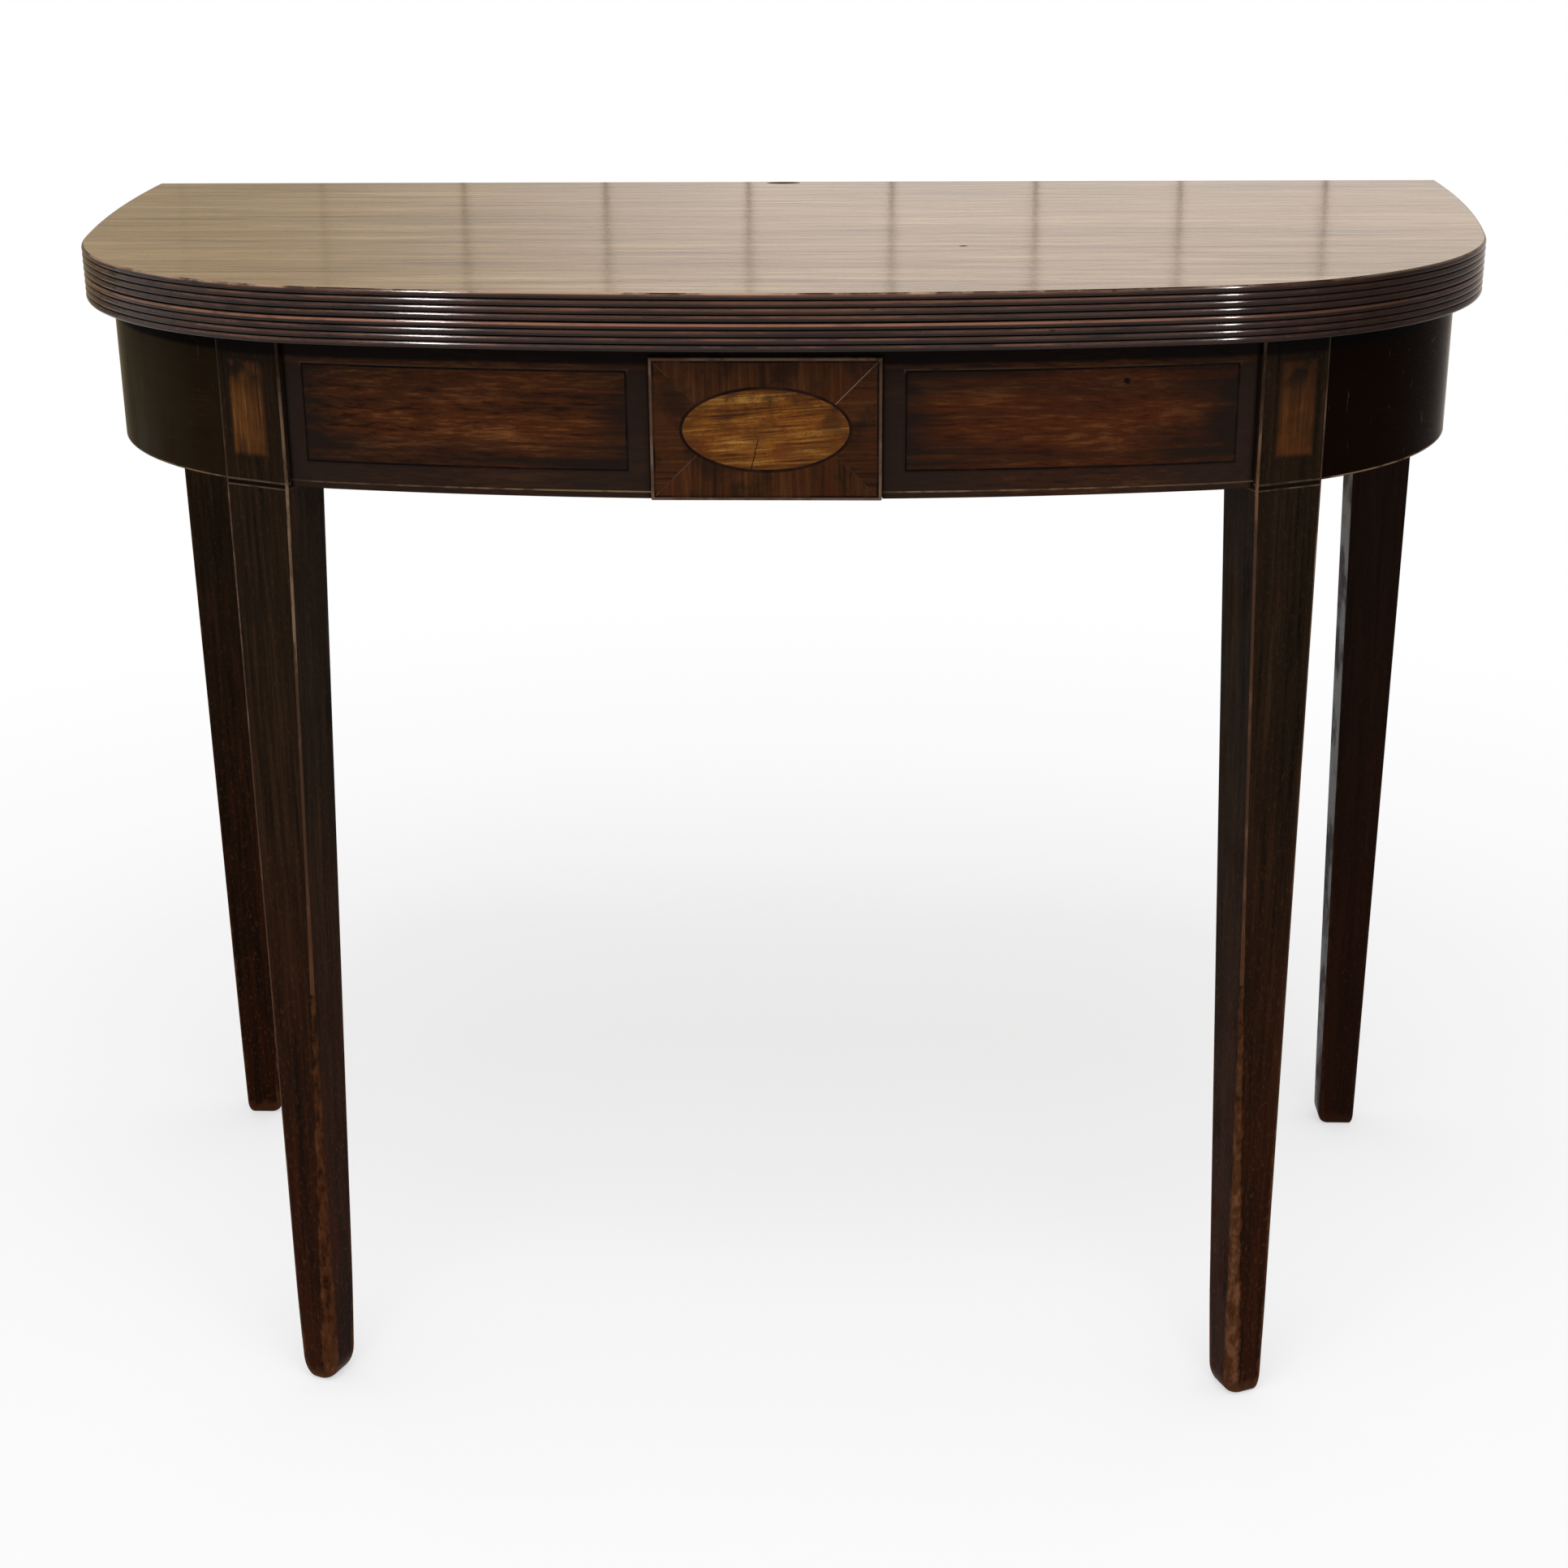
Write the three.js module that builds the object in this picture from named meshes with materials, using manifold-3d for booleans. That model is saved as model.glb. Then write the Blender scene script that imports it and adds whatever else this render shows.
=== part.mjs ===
// Demilune folding card table: a mahogany D-shaped top in two hinged leaves
// on a bowed frieze, with two fixed front legs and two gate legs at the back.
// Millimetres, Z up, X across the width, +Y towards the back.
// The origin is on the floor, under the middle of the closed table.

import * as THREE from 'three';
import Module from 'manifold-3d';
import { mergeVertices } from 'three/addons/utils/BufferGeometryUtils.js';

const wasm = await Module();
wasm.setup();

// Overall sizes
const tableHeight = 740;
const topHalfWidth = 459;
const topDepth = 468;

// Bows of the D: flat sides, round corners, flat front
const sideBowRadius = 1600;
const cornerRadius = 228;
const frontBowRadius = 1440;
const sideSteps = 5;
const cornerSteps = 14;
const frontSteps = 6;

// Clearances
const glueGap = 0.3;
const runningGap = 0.2;
const overrun = 2;

// Leaves
const leafThickness = 16.2;
const leafBackGap = 0.15;
const reedsPerLeaf = 4;
const reedDepth = 1.4;
const reedSteps = 4;

// Tongue that lines the open leaves up
const tongueWidth = 23;
const tongueThickness = 6;
const tongueRoot = 12;
const tongueReach = 5;
const tongueDrop = 5;
const tongueMortiseSlack = 1.3;

// Frieze
const friezeHeight = 86.5;
const friezeOverhang = 16.5;
const railThickness = 24;

// Rail tenons
const tenonThickness = 8;
const tenonLength = 14;
const tenonRoot = 8;
const tenonShoulder = 12;

// Softened corners of every leg, opening out at the worn foot
const legArris = 0.7;
const footArris = 4;
const footWearHeight = 30;

// Front legs
const frontLegFromEnd = 158;
const frontLegWidth = 44;
const frontLegDepth = 36;
const frontFootWidth = 23.5;
const frontFootDepth = 27;
const frontLegProud = 3;
const frontFootRound = 6;
const frontFootRise = 12;

// Inlaid panel on the head of a front leg
const legPanelWidth = 25;
const legPanelHeight = 57;
const legPanelRise = 15.5;
const inlayThickness = 1.5;

// Rear legs
const rearLegWidth = 42;
const rearLegDepth = 42;
const rearFootWidth = 27;
const rearFootDepth = 26;
const rearLegInset = 8.2;
const rearLegProud = 4.5;
const rearFootRound = 5;
const rearFootRise = 8;

// Back rail, gates and their knuckle joints
const backRailThickness = 20;
const flyRailThickness = 24;
const flyRailInset = 3;
const flyRailTenon = 22;
const gateTopGap = 0.5;
const gateBottomGap = 1;
const knuckleStation = 105;
const knuckleFingers = 5;
const knucklePinRadius = 2.5;
const packingSetback = 20;

// Brace and corner blocks
const braceWidth = 30;
const braceHeight = 60;
const cornerBlockSide = 32;
const cornerBlockHeight = 62;

// Centre tablet and its oval
const tabletHalfWidth = 65.5;
const tabletThickness = 7.5;
const tabletProud = 3.5;
const tabletDrop = 5;
const ovalHalfWidth = 48.8;
const ovalHalfHeight = 24.6;
const ovalSteps = 48;

// Brass hinges in the ends of the leaves
const hingeLength = 36;
const hingeHeight = 8;
const hingePlate = 2.5;
const hingeSink = 0.6;
const hingeEyeRadius = 4.2;
const hingeNeck = 9;
const hingeLap = 8;
const hingePinRadius = 1.5;
const hingeScrewLength = 15;
const hingeScrewRadius = 1.6;
const hingeScrewHead = 3.2;
const hingeScrewCone = 1.8;
const hingeScrewShares = [0.56, 0.86];
const hingeEyeSteps = 20;
const screwSteps = 12;
const knuckleSteps = 24;

// Rounding of a foot, as shares of its reach in and of its rise
const footShares = [[1, 0], [0.45, 0.15], [0.15, 0.45], [0, 1]];

// Screws that hold the top and the knuckle rail
const topScrewLength = 38;
const topScrewBite = 11;
const topScrewRadius = 2;
const topScrewHead = 4.2;
const topScrewCone = 2.6;
const topScrewPocket = 5.2;
const topScrewPocketLength = 40;
const topScrewTilt = 0.35;
const topScrewStation = 150;
const backScrewStation = 215;
const endScrewReach = 210;
const railScrewLength = 50;
const railScrewStation = 62;
const railScrewRise = 22;

// Heights worked out from the sizes above
const seamHeight = tableHeight - leafThickness - glueGap / 2;
const fixedLeafTop = seamHeight - glueGap / 2;
const fixedLeafBottom = fixedLeafTop - leafThickness;
const friezeTop = fixedLeafBottom - glueGap;
const friezeBottom = friezeTop - friezeHeight;
const friezeMiddle = (friezeTop + friezeBottom) / 2;
const tabletMiddle = friezeMiddle - tabletDrop / 2;
const gateTop = friezeTop - gateTopGap;
const gateBottom = friezeBottom + gateBottomGap;

// Places along Y, from the back edge of the top at 0 to its front
const rearLegFront = -rearLegInset - rearLegDepth;
const railBack = rearLegFront - glueGap;
const backRailFront = railBack - backRailThickness;
const flyRailBack = -rearLegInset - flyRailInset;
const flyRailMiddle = flyRailBack - flyRailThickness / 2;
const flyRailFront = flyRailBack - flyRailThickness;
const friezeFront = friezeOverhang - topDepth;
const rearLegOuter = topHalfWidth - friezeOverhang + rearLegProud;

// Solid operations

function weld(geometry) {
  const bare = geometry.clone();
  bare.deleteAttribute('normal');
  bare.deleteAttribute('uv');
  const merged = mergeVertices(bare);
  const corners = merged.index.array;
  const kept = [];
  for (let i = 0; i < corners.length; i += 3) {
    const [a, b, c] = [corners[i], corners[i + 1], corners[i + 2]];
    if (a !== b && b !== c && c !== a) kept.push(a, b, c);
  }
  merged.setIndex(kept);
  return merged;
}

function toSolid(geometry) {
  const welded = weld(geometry);
  return new wasm.Manifold(new wasm.Mesh({
    numProp: 3,
    vertProperties: new Float32Array(welded.attributes.position.array),
    triVerts: new Uint32Array(welded.index.array),
  }));
}

function toGeometry(manifold) {
  const mesh = manifold.getMesh();
  const geometry = new THREE.BufferGeometry();
  geometry.setAttribute('position', new THREE.BufferAttribute(new Float32Array(mesh.vertProperties), 3));
  geometry.setIndex(new THREE.BufferAttribute(new Uint32Array(mesh.triVerts), 1));
  return geometry;
}

function cut(base, tools) {
  return toGeometry(tools.reduce((left, tool) => left.subtract(toSolid(tool)), toSolid(base)));
}

function join(pieces) {
  return toGeometry(pieces.map(toSolid).reduce((whole, piece) => whole.add(piece)));
}

function common(base, other) {
  return toGeometry(toSolid(base).intersect(toSolid(other)));
}

// Plain shapes

function block(x0, x1, y0, y1, z0, z1) {
  const geometry = new THREE.BoxGeometry(x1 - x0, y1 - y0, z1 - z0);
  geometry.translate((x0 + x1) / 2, (y0 + y1) / 2, (z0 + z1) / 2);
  return geometry;
}

function slab(points, z0, z1) {
  const shape = new THREE.Shape(points.map(([x, y]) => new THREE.Vector2(x, y)));
  const geometry = new THREE.ExtrudeGeometry(shape, { depth: z1 - z0, bevelEnabled: false });
  geometry.translate(0, 0, z0);
  return geometry;
}

// A shape drawn in Y and Z, extruded along X from x0 to x1
function sidePlate(shape, x0, x1) {
  const geometry = new THREE.ExtrudeGeometry(shape, { depth: x1 - x0, bevelEnabled: false });
  geometry.applyMatrix4(new THREE.Matrix4().set(0, 0, 1, x0, 1, 0, 0, 0, 0, 1, 0, 0, 0, 0, 0, 1));
  return geometry;
}

function upright(radius, x, y, z0, z1, steps) {
  const geometry = new THREE.CylinderGeometry(radius, radius, z1 - z0, steps);
  geometry.rotateX(Math.PI / 2);
  geometry.translate(x, y, (z0 + z1) / 2);
  return geometry;
}

// A turned profile of [radius, distance] pairs, stood at a point along a direction
function turned(profile, start, direction, steps) {
  const geometry = new THREE.LatheGeometry(profile.map(([r, s]) => new THREE.Vector2(r, s)), steps);
  const turn = new THREE.Quaternion().setFromUnitVectors(new THREE.Vector3(0, 1, 0), direction);
  geometry.applyQuaternion(turn);
  geometry.translate(start.x, start.y, start.z);
  return geometry;
}

// Rings of equal count joined into one closed skin, the first ring lowest
function loft(rings) {
  const count = rings[0].length;
  const positions = rings.flat().flatMap((p) => [p.x, p.y, p.z]);
  const index = [];
  for (let k = 0; k + 1 < rings.length; k += 1) {
    for (let i = 0; i < count; i += 1) {
      const j = (i + 1) % count;
      const [a, b, c, d] = [k * count + i, k * count + j, (k + 1) * count + j, (k + 1) * count + i];
      index.push(a, b, c, a, c, d);
    }
  }
  const cap = (ring) => THREE.ShapeUtils.triangulateShape(ring.map((p) => new THREE.Vector2(p.x, p.y)), []);
  const last = (rings.length - 1) * count;
  cap(rings[0]).forEach(([a, b, c]) => index.push(a, c, b));
  cap(rings[rings.length - 1]).forEach(([a, b, c]) => index.push(last + a, last + b, last + c));
  const geometry = new THREE.BufferGeometry();
  geometry.setAttribute('position', new THREE.Float32BufferAttribute(positions, 3));
  geometry.setIndex(index);
  return geometry;
}

// The mirror image across the middle of the table
function mirrored(geometry) {
  const copy = weld(geometry);
  copy.applyMatrix4(new THREE.Matrix4().makeScale(-1, 1, 1));
  const corners = copy.index.array;
  for (let i = 0; i < corners.length; i += 3) {
    [corners[i + 1], corners[i + 2]] = [corners[i + 2], corners[i + 1]];
  }
  return copy;
}

function onSide(side, geometry) {
  return side > 0 ? geometry : mirrored(geometry);
}

// The D outline

const sideCentre = new THREE.Vector2(topHalfWidth - sideBowRadius, 0);
const frontCentre = new THREE.Vector2(0, frontBowRadius - topDepth);
const cornerCentre = meetingPoint(
  sideCentre,
  sideBowRadius - cornerRadius,
  frontCentre,
  frontBowRadius - cornerRadius,
);
const sideEndAngle = cornerCentre.clone().sub(sideCentre).angle() - 2 * Math.PI;
const cornerEndAngle = cornerCentre.clone().sub(frontCentre).angle() - 2 * Math.PI;

// Where two circles cross, on the side away from the middle of the table
function meetingPoint(first, firstRadius, second, secondRadius) {
  const between = second.clone().sub(first);
  const distance = between.length();
  const along = (firstRadius ** 2 - secondRadius ** 2 + distance ** 2) / (2 * distance);
  const across = Math.sqrt(firstRadius ** 2 - along ** 2);
  const unit = between.divideScalar(distance);
  return new THREE.Vector2(
    first.x + unit.x * along + unit.y * across,
    first.y + unit.y * along - unit.x * across,
  );
}

function arcPoints(centre, radius, from, to, steps) {
  const angles = Array.from({ length: steps }, (_, i) => from + ((to - from) * i) / steps);
  return angles.map((a) => [centre.x + radius * Math.cos(a), centre.y + radius * Math.sin(a)]);
}

// Points of the D set in by a distance, from the right back corner round the front
function outline(inset) {
  const half = [
    ...arcPoints(sideCentre, sideBowRadius - inset, 0, sideEndAngle, sideSteps),
    ...arcPoints(cornerCentre, cornerRadius - inset, sideEndAngle, cornerEndAngle, cornerSteps),
    ...arcPoints(frontCentre, frontBowRadius - inset, cornerEndAngle, -Math.PI / 2, frontSteps),
  ];
  const middle = [0, inset - topDepth];
  return [...half, middle, ...half.map(([x, y]) => [-x, y]).reverse()];
}

// The D's half width at a place along Y on its bowed side
function halfWidthAt(y, inset) {
  return sideCentre.x + Math.sqrt((sideBowRadius - inset) ** 2 - (y - sideCentre.y) ** 2);
}

// Place and turn of something that faces out from the D's corner at a half width
function cornerStation(x, inset) {
  const turn = Math.asin((x - cornerCentre.x) / (cornerRadius - inset));
  return { x, y: cornerCentre.y - (cornerRadius - inset) * Math.cos(turn), turn };
}

// A curved wall between two insets of the D, closed across the back
function bowedBand(outerInset, innerInset, z0, z1) {
  const outer = outline(outerInset);
  const inner = outline(innerInset).reverse();
  return slab([...outer, ...inner], z0, z1);
}

// Leaves

function reedProfile() {
  const pitch = leafThickness / reedsPerLeaf;
  const points = [];
  for (let reed = 0; reed < reedsPerLeaf; reed += 1) {
    for (let i = 0; i < reedSteps; i += 1) {
      const angle = (Math.PI * i) / reedSteps;
      points.push([reedDepth * (1 - Math.sin(angle)), pitch * (reed + (1 - Math.cos(angle)) / 2)]);
    }
  }
  points.push([reedDepth, leafThickness]);
  return points;
}

function leaf(bottom) {
  const rings = reedProfile().map(([inset, rise]) => (
    outline(inset).map(([x, y], i, all) => {
      const atBack = i === 0 || i === all.length - 1;
      return new THREE.Vector3(x, atBack ? -leafBackGap : y, bottom + rise);
    }).reverse()
  ));
  return loft(rings);
}

function tongueBlock(slack, back) {
  const half = tongueWidth / 2 + slack;
  const top = seamHeight - tongueDrop + slack;
  const bottom = seamHeight - tongueDrop - tongueThickness - slack;
  return block(-half, half, -tongueRoot - slack, back, bottom, top);
}

function foldingLeafMortise() {
  const half = tongueWidth / 2 + 2 * glueGap;
  const swing = Math.hypot(tongueReach, tongueDrop + tongueThickness) + 2 * glueGap;
  const depth = tongueReach + tongueMortiseSlack;
  const low = seamHeight + tongueDrop - 2 * glueGap;
  return block(-half, half, -depth, overrun, low, seamHeight + swing);
}

// Hinges: everything is made for the right end and mirrored for the left

const hingeOuter = topHalfWidth - hingeSink;
const hingeInner = hingeOuter - hingePlate;
const eyeOuter = hingeInner - glueGap;
const eyeInner = eyeOuter - hingePlate;
const hingeNear = (leafThickness - hingeHeight) / 2;
const hingeFar = hingeNear + hingeHeight;

function atSeam(geometry) {
  geometry.translate(0, 0, seamHeight);
  return geometry;
}

// The neck and eye of a plate, up is +1 for the folding leaf and -1 for the fixed one
function hingeArm(up, length, x0, x1) {
  const neck = new THREE.Shape();
  neck.moveTo(-length, up * hingeFar);
  neck.lineTo(-length, up * hingeNear);
  neck.lineTo(-hingeNeck, up * hingeNear);
  neck.lineTo(-hingeEyeRadius, 0);
  neck.lineTo(0, 0);
  neck.lineTo(0, up * hingeEyeRadius);
  neck.lineTo(-hingeNeck, up * hingeFar);
  const eye = alongX(hingeEyeRadius, x0, x1, hingeEyeSteps);
  return atSeam(join([sidePlate(neck, x0, x1), eye]));
}

function alongX(radius, x0, x1, steps) {
  const geometry = new THREE.CylinderGeometry(radius, radius, x1 - x0, steps);
  geometry.rotateZ(Math.PI / 2);
  geometry.translate((x0 + x1) / 2, 0, 0);
  return geometry;
}

function hingeScrewPlaces(up) {
  const z = seamHeight + (up * (hingeNear + hingeFar)) / 2;
  return hingeScrewShares.map((share) => new THREE.Vector3(hingeOuter, -share * hingeLength, z));
}

function hingeScrew(place, slack) {
  const profile = [
    [0, 0],
    [hingeScrewHead + slack, 0],
    [hingeScrewRadius + slack, hingeScrewCone],
    [hingeScrewRadius + slack, hingeScrewLength - hingeScrewHead],
    [0, hingeScrewLength + slack],
  ];
  return turned(profile, place, new THREE.Vector3(-1, 0, 0), screwSteps);
}

function hingeScrewCutters(up) {
  const starts = hingeScrewPlaces(up);
  const mouths = starts.map((p) => {
    const mouth = alongX(hingeScrewHead + runningGap, p.x - runningGap / 2, p.x + overrun, screwSteps);
    return mouth.translate(0, p.y, p.z);
  });
  return [...starts.map((p) => hingeScrew(p, runningGap)), ...mouths];
}

function fixedHingePlate() {
  const plate = hingeArm(-1, hingeLength, hingeInner, hingeOuter);
  const radius = hingePinRadius + runningGap / 2;
  const bore = atSeam(alongX(radius, hingeInner - overrun, hingeOuter + overrun, screwSteps));
  return cut(plate, [bore, ...hingeScrewCutters(-1)]);
}

function foldingHingePlate() {
  const face = block(hingeInner, hingeOuter, -hingeLength, -hingeNeck, hingeNear, hingeFar);
  const arm = hingeArm(1, hingeNeck + hingeLap, eyeInner, eyeOuter);
  const lapStart = -hingeNeck - hingeLap;
  const lap = block(eyeInner, hingeOuter, lapStart, -hingeNeck, hingeNear, hingeFar);
  const radius = hingePinRadius + runningGap;
  const bore = atSeam(alongX(radius, eyeInner - overrun, eyeOuter + overrun, screwSteps));
  return cut(join([atSeam(face), atSeam(lap), arm]), [bore, ...hingeScrewCutters(1)]);
}

function hingePin() {
  return atSeam(alongX(hingePinRadius, eyeInner, hingeOuter, screwSteps));
}

// Room let into a leaf for the plates, up is +1 for the folding leaf
function hingePocket(up) {
  const sorted = (a, b) => [Math.min(a, b), Math.max(a, b)];
  const [low, high] = sorted(up * (hingeNear - glueGap), up * (hingeFar + glueGap));
  const [cornerLow, cornerHigh] = sorted(-up * overrun, up * (hingeFar + glueGap));
  const floor = hingeInner - glueGap;
  const deepFloor = eyeInner - glueGap;
  const lapStart = -hingeNeck - hingeLap - glueGap;
  const plate = block(floor, topHalfWidth + overrun, -hingeLength - glueGap, overrun, low, high);
  const corner = block(floor, topHalfWidth + overrun, -hingeNeck - glueGap, overrun, cornerLow, cornerHigh);
  const eye = alongX(hingeEyeRadius + glueGap, deepFloor, topHalfWidth, hingeEyeSteps);
  const arm = [
    block(deepFloor, topHalfWidth, lapStart, overrun, low, high),
    block(deepFloor, topHalfWidth, -hingeNeck, overrun, cornerLow, cornerHigh),
  ];
  return [plate, corner, eye, ...(up > 0 ? arm : [])].map(atSeam);
}

function bothSides(pieces) {
  return [...pieces, ...pieces.map(mirrored)];
}

function fixedLeaf() {
  const hinges = bothSides([...hingePocket(-1), ...hingeScrewCutters(-1)]);
  const screws = topScrewPlaces().map((place) => topScrew(place, runningGap));
  return cut(leaf(fixedLeafBottom), [tongueBlock(glueGap, overrun), ...hinges, ...screws]);
}

function foldingLeaf() {
  const hinges = bothSides([...hingePocket(1), ...hingeScrewCutters(1)]);
  return cut(leaf(tableHeight - leafThickness), [foldingLeafMortise(), ...hinges]);
}

// Front legs, made about the middle of the head's front face

const frontLegStation = topHalfWidth - frontLegFromEnd;
const frontLegPlace = cornerStation(frontLegStation, friezeOverhang - frontLegProud);

function atFrontLeg(geometry) {
  geometry.rotateZ(frontLegPlace.turn);
  geometry.translate(frontLegPlace.x, frontLegPlace.y, 0);
  return geometry;
}

// Eight points round a leg, each corner cut back by its arris
function legRing({ x0, x1, y0, y1 }, z, inset, arris) {
  const [left, right, front, back] = [x0 + inset, x1 - inset, y0 + inset, y1 - inset];
  return [
    [left, front + arris],
    [left + arris, front],
    [right - arris, front],
    [right, front + arris],
    [right, back - arris],
    [right - arris, back],
    [left + arris, back],
    [left, back - arris],
  ].map(([x, y]) => new THREE.Vector3(x, y, z));
}

// The section of a leg part of the way from its foot to its head
function between(foot, head, share) {
  const mix = (key) => foot[key] + (head[key] - foot[key]) * share;
  return { x0: mix('x0'), x1: mix('x1'), y0: mix('y0'), y1: mix('y1') };
}

// A tapered leg between two sides, its foot rounded off over the last few millimetres
function taperedLeg(head, foot, round, rise, top) {
  const rings = footShares.map(([insetShare, riseShare]) => (
    legRing(foot, rise * riseShare, round * insetShare, footArris)
  ));
  rings.push(legRing(between(foot, head, footWearHeight / friezeBottom), footWearHeight, 0, legArris));
  rings.push(legRing(head, friezeBottom, 0, legArris));
  rings.push(legRing(head, top, 0, legArris));
  return loft(rings);
}

function legPanelBlock(slack) {
  const half = legPanelWidth / 2 + slack;
  const low = friezeBottom + legPanelRise - slack;
  const front = slack > 0 ? -overrun : 0;
  return block(-half, half, front, inlayThickness + slack - glueGap, low, low + legPanelHeight + 2 * slack);
}

// Tenons of the frieze rails, seen from the leg: side is +1 outwards, -1 inwards
function friezeTenon(side, slack) {
  const root = side * (frontLegWidth / 2 + tenonRoot);
  const tip = side * (frontLegWidth / 2 - tenonLength - slack);
  const front = frontLegProud + (railThickness - tenonThickness) / 2;
  return block(
    Math.min(root, tip),
    Math.max(root, tip),
    front - slack,
    front + tenonThickness + slack,
    friezeBottom + tenonShoulder - slack,
    friezeTop - tenonShoulder + slack,
  );
}

function frontLeg() {
  const half = frontLegWidth / 2;
  const head = { x0: -half, x1: half, y0: 0, y1: frontLegDepth };
  const foot = { x0: half - frontFootWidth, x1: half, y0: 0, y1: frontFootDepth };
  const whole = taperedLeg(head, foot, frontFootRound, frontFootRise, friezeTop);
  return cut(whole, [legPanelBlock(glueGap), friezeTenon(1, glueGap), friezeTenon(-1, glueGap)]);
}

// The room that a leg's head takes out of the curved frieze
function frontLegRoom() {
  const half = frontLegWidth / 2 + glueGap;
  const back = frontLegDepth + glueGap;
  return atFrontLeg(block(-half, half, -frontLegDepth, back, friezeBottom - overrun, friezeTop + overrun));
}

// Frieze rails

function friezeWall() {
  return bowedBand(friezeOverhang, friezeOverhang + railThickness, friezeBottom, friezeTop);
}

// A block taller than the frieze, to keep or clear a part of its wall
function throughFrieze(x0, x1, y0, y1) {
  return block(x0, x1, y0, y1, friezeBottom - overrun, friezeTop + overrun);
}

function tabletBlock(slack) {
  const half = tabletHalfWidth + slack;
  const front = friezeFront - tabletProud;
  const low = friezeBottom - (slack > 0 ? overrun : 0);
  const high = friezeTop - tabletDrop + slack;
  return block(-half, half, front - slack, front + tabletThickness + slack, low, high);
}

function braceTenon(y0, y1, slack) {
  const half = tenonThickness / 2 + slack;
  const rise = tenonShoulder - slack;
  return block(-half, half, y0, y1, friezeTop - braceHeight + rise, friezeTop - rise);
}

function frontRail() {
  const wall = common(friezeWall(), throughFrieze(-frontLegStation, frontLegStation, -topDepth, 0));
  const rail = cut(wall, [frontLegRoom(), mirrored(frontLegRoom())]);
  const tenons = bothSides([atFrontLeg(friezeTenon(-1, 0))]);
  const innerFace = friezeFront + railThickness;
  const mortise = braceTenon(innerFace - tenonLength - glueGap, innerFace + overrun, glueGap);
  return cut(join([rail, ...tenons]), [tabletBlock(glueGap), mortise, ...topScrewCutters()]);
}

function endRail() {
  const part = throughFrieze(frontLegStation + glueGap, topHalfWidth, -topDepth, railBack);
  const rail = cut(common(friezeWall(), part), [frontLegRoom()]);
  const tenon = atFrontLeg(friezeTenon(1, 0));
  return cut(join([rail, tenon]), [backRailTenon(glueGap), ...topScrewCutters()]);
}

// Back rail, brace and corner blocks

const backRailReach = halfWidthAt(backRailFront, friezeOverhang + railThickness);

function backRailTenon(slack) {
  const middle = (railBack + backRailFront) / 2;
  return block(
    backRailReach - tenonRoot,
    backRailReach + tenonLength + slack,
    middle - tenonThickness / 2 - slack,
    middle + tenonThickness / 2 + slack,
    friezeBottom + tenonShoulder - slack,
    friezeTop - tenonShoulder + slack,
  );
}

function endRailRoom() {
  const innerInset = friezeOverhang + railThickness + glueGap;
  return bowedBand(0, innerInset, friezeBottom - overrun, friezeTop + overrun);
}

function backRail() {
  const reach = topHalfWidth - friezeOverhang;
  const whole = block(-reach, reach, backRailFront, railBack, friezeBottom, friezeTop);
  const rail = cut(whole, [endRailRoom()]);
  const mortise = braceTenon(backRailFront - overrun, backRailFront + tenonLength + glueGap, glueGap);
  const tenons = bothSides([backRailTenon(0)]);
  const screws = railScrewPlaces().map((place) => railScrew(place, runningGap));
  return cut(join([rail, ...tenons]), [mortise, ...topScrewCutters(), ...screws]);
}

function medialBrace() {
  const front = friezeFront + railThickness;
  const half = braceWidth / 2;
  const low = friezeTop - braceHeight;
  const bar = block(-half, half, front + glueGap, backRailFront - glueGap, low, friezeTop);
  const tenon = braceTenon(front - tenonLength, backRailFront + tenonLength, 0);
  return join([bar, tenon]);
}

function cornerBlock() {
  const x = backRailReach;
  const y = backRailFront - glueGap;
  const corner = [[x + overrun, y], [x - cornerBlockSide, y], [x + overrun, y - cornerBlockSide]];
  const prism = slab(corner, friezeTop - cornerBlockHeight, friezeTop);
  return cut(prism, [endRailRoom()]);
}

// Centre tablet

function ovalSlab(slack, front, back) {
  const shape = new THREE.Shape();
  shape.absellipse(0, 0, ovalHalfWidth + slack, ovalHalfHeight + slack, 0, 2 * Math.PI, false, 0);
  const options = { depth: back - front, bevelEnabled: false, curveSegments: ovalSteps };
  const geometry = new THREE.ExtrudeGeometry(shape, options);
  geometry.rotateX(Math.PI / 2);
  geometry.translate(0, back, tabletMiddle);
  return geometry;
}

const tabletFace = friezeFront - tabletProud;

function centreTablet() {
  return cut(tabletBlock(0), [ovalSlab(glueGap, tabletFace - overrun, tabletFace + inlayThickness)]);
}

function tabletOval() {
  return ovalSlab(0, tabletFace, tabletFace + inlayThickness - glueGap);
}

// Rear legs and the gates that carry them

function gateTenon(slack) {
  const root = rearLegOuter - rearLegWidth - tenonRoot;
  const tip = rearLegOuter - rearLegWidth + flyRailTenon + slack;
  const half = tenonThickness / 2 + slack;
  const low = gateBottom + tenonShoulder - slack;
  return block(root, tip, flyRailMiddle - half, flyRailMiddle + half, low, gateTop - tenonShoulder + slack);
}

function rearLeg() {
  const x1 = rearLegOuter;
  const y1 = -rearLegInset;
  const head = { x0: x1 - rearLegWidth, x1, y0: y1 - rearLegDepth, y1 };
  const foot = { x0: x1 - rearFootWidth, x1, y0: y1 - rearFootDepth, y1 };
  const whole = taperedLeg(head, foot, rearFootRound, rearFootRise, gateTop);
  return cut(whole, [gateTenon(glueGap)]);
}

const knuckleRadius = flyRailThickness / 2;
const fingerGap = glueGap;
const fingerHeight = (gateTop - gateBottom - (knuckleFingers - 1) * fingerGap) / knuckleFingers;

function fingerLevels(first) {
  const levels = [];
  for (let i = first; i < knuckleFingers; i += 2) {
    const low = gateBottom + i * (fingerHeight + fingerGap);
    levels.push([low, low + fingerHeight]);
  }
  return levels;
}

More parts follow.
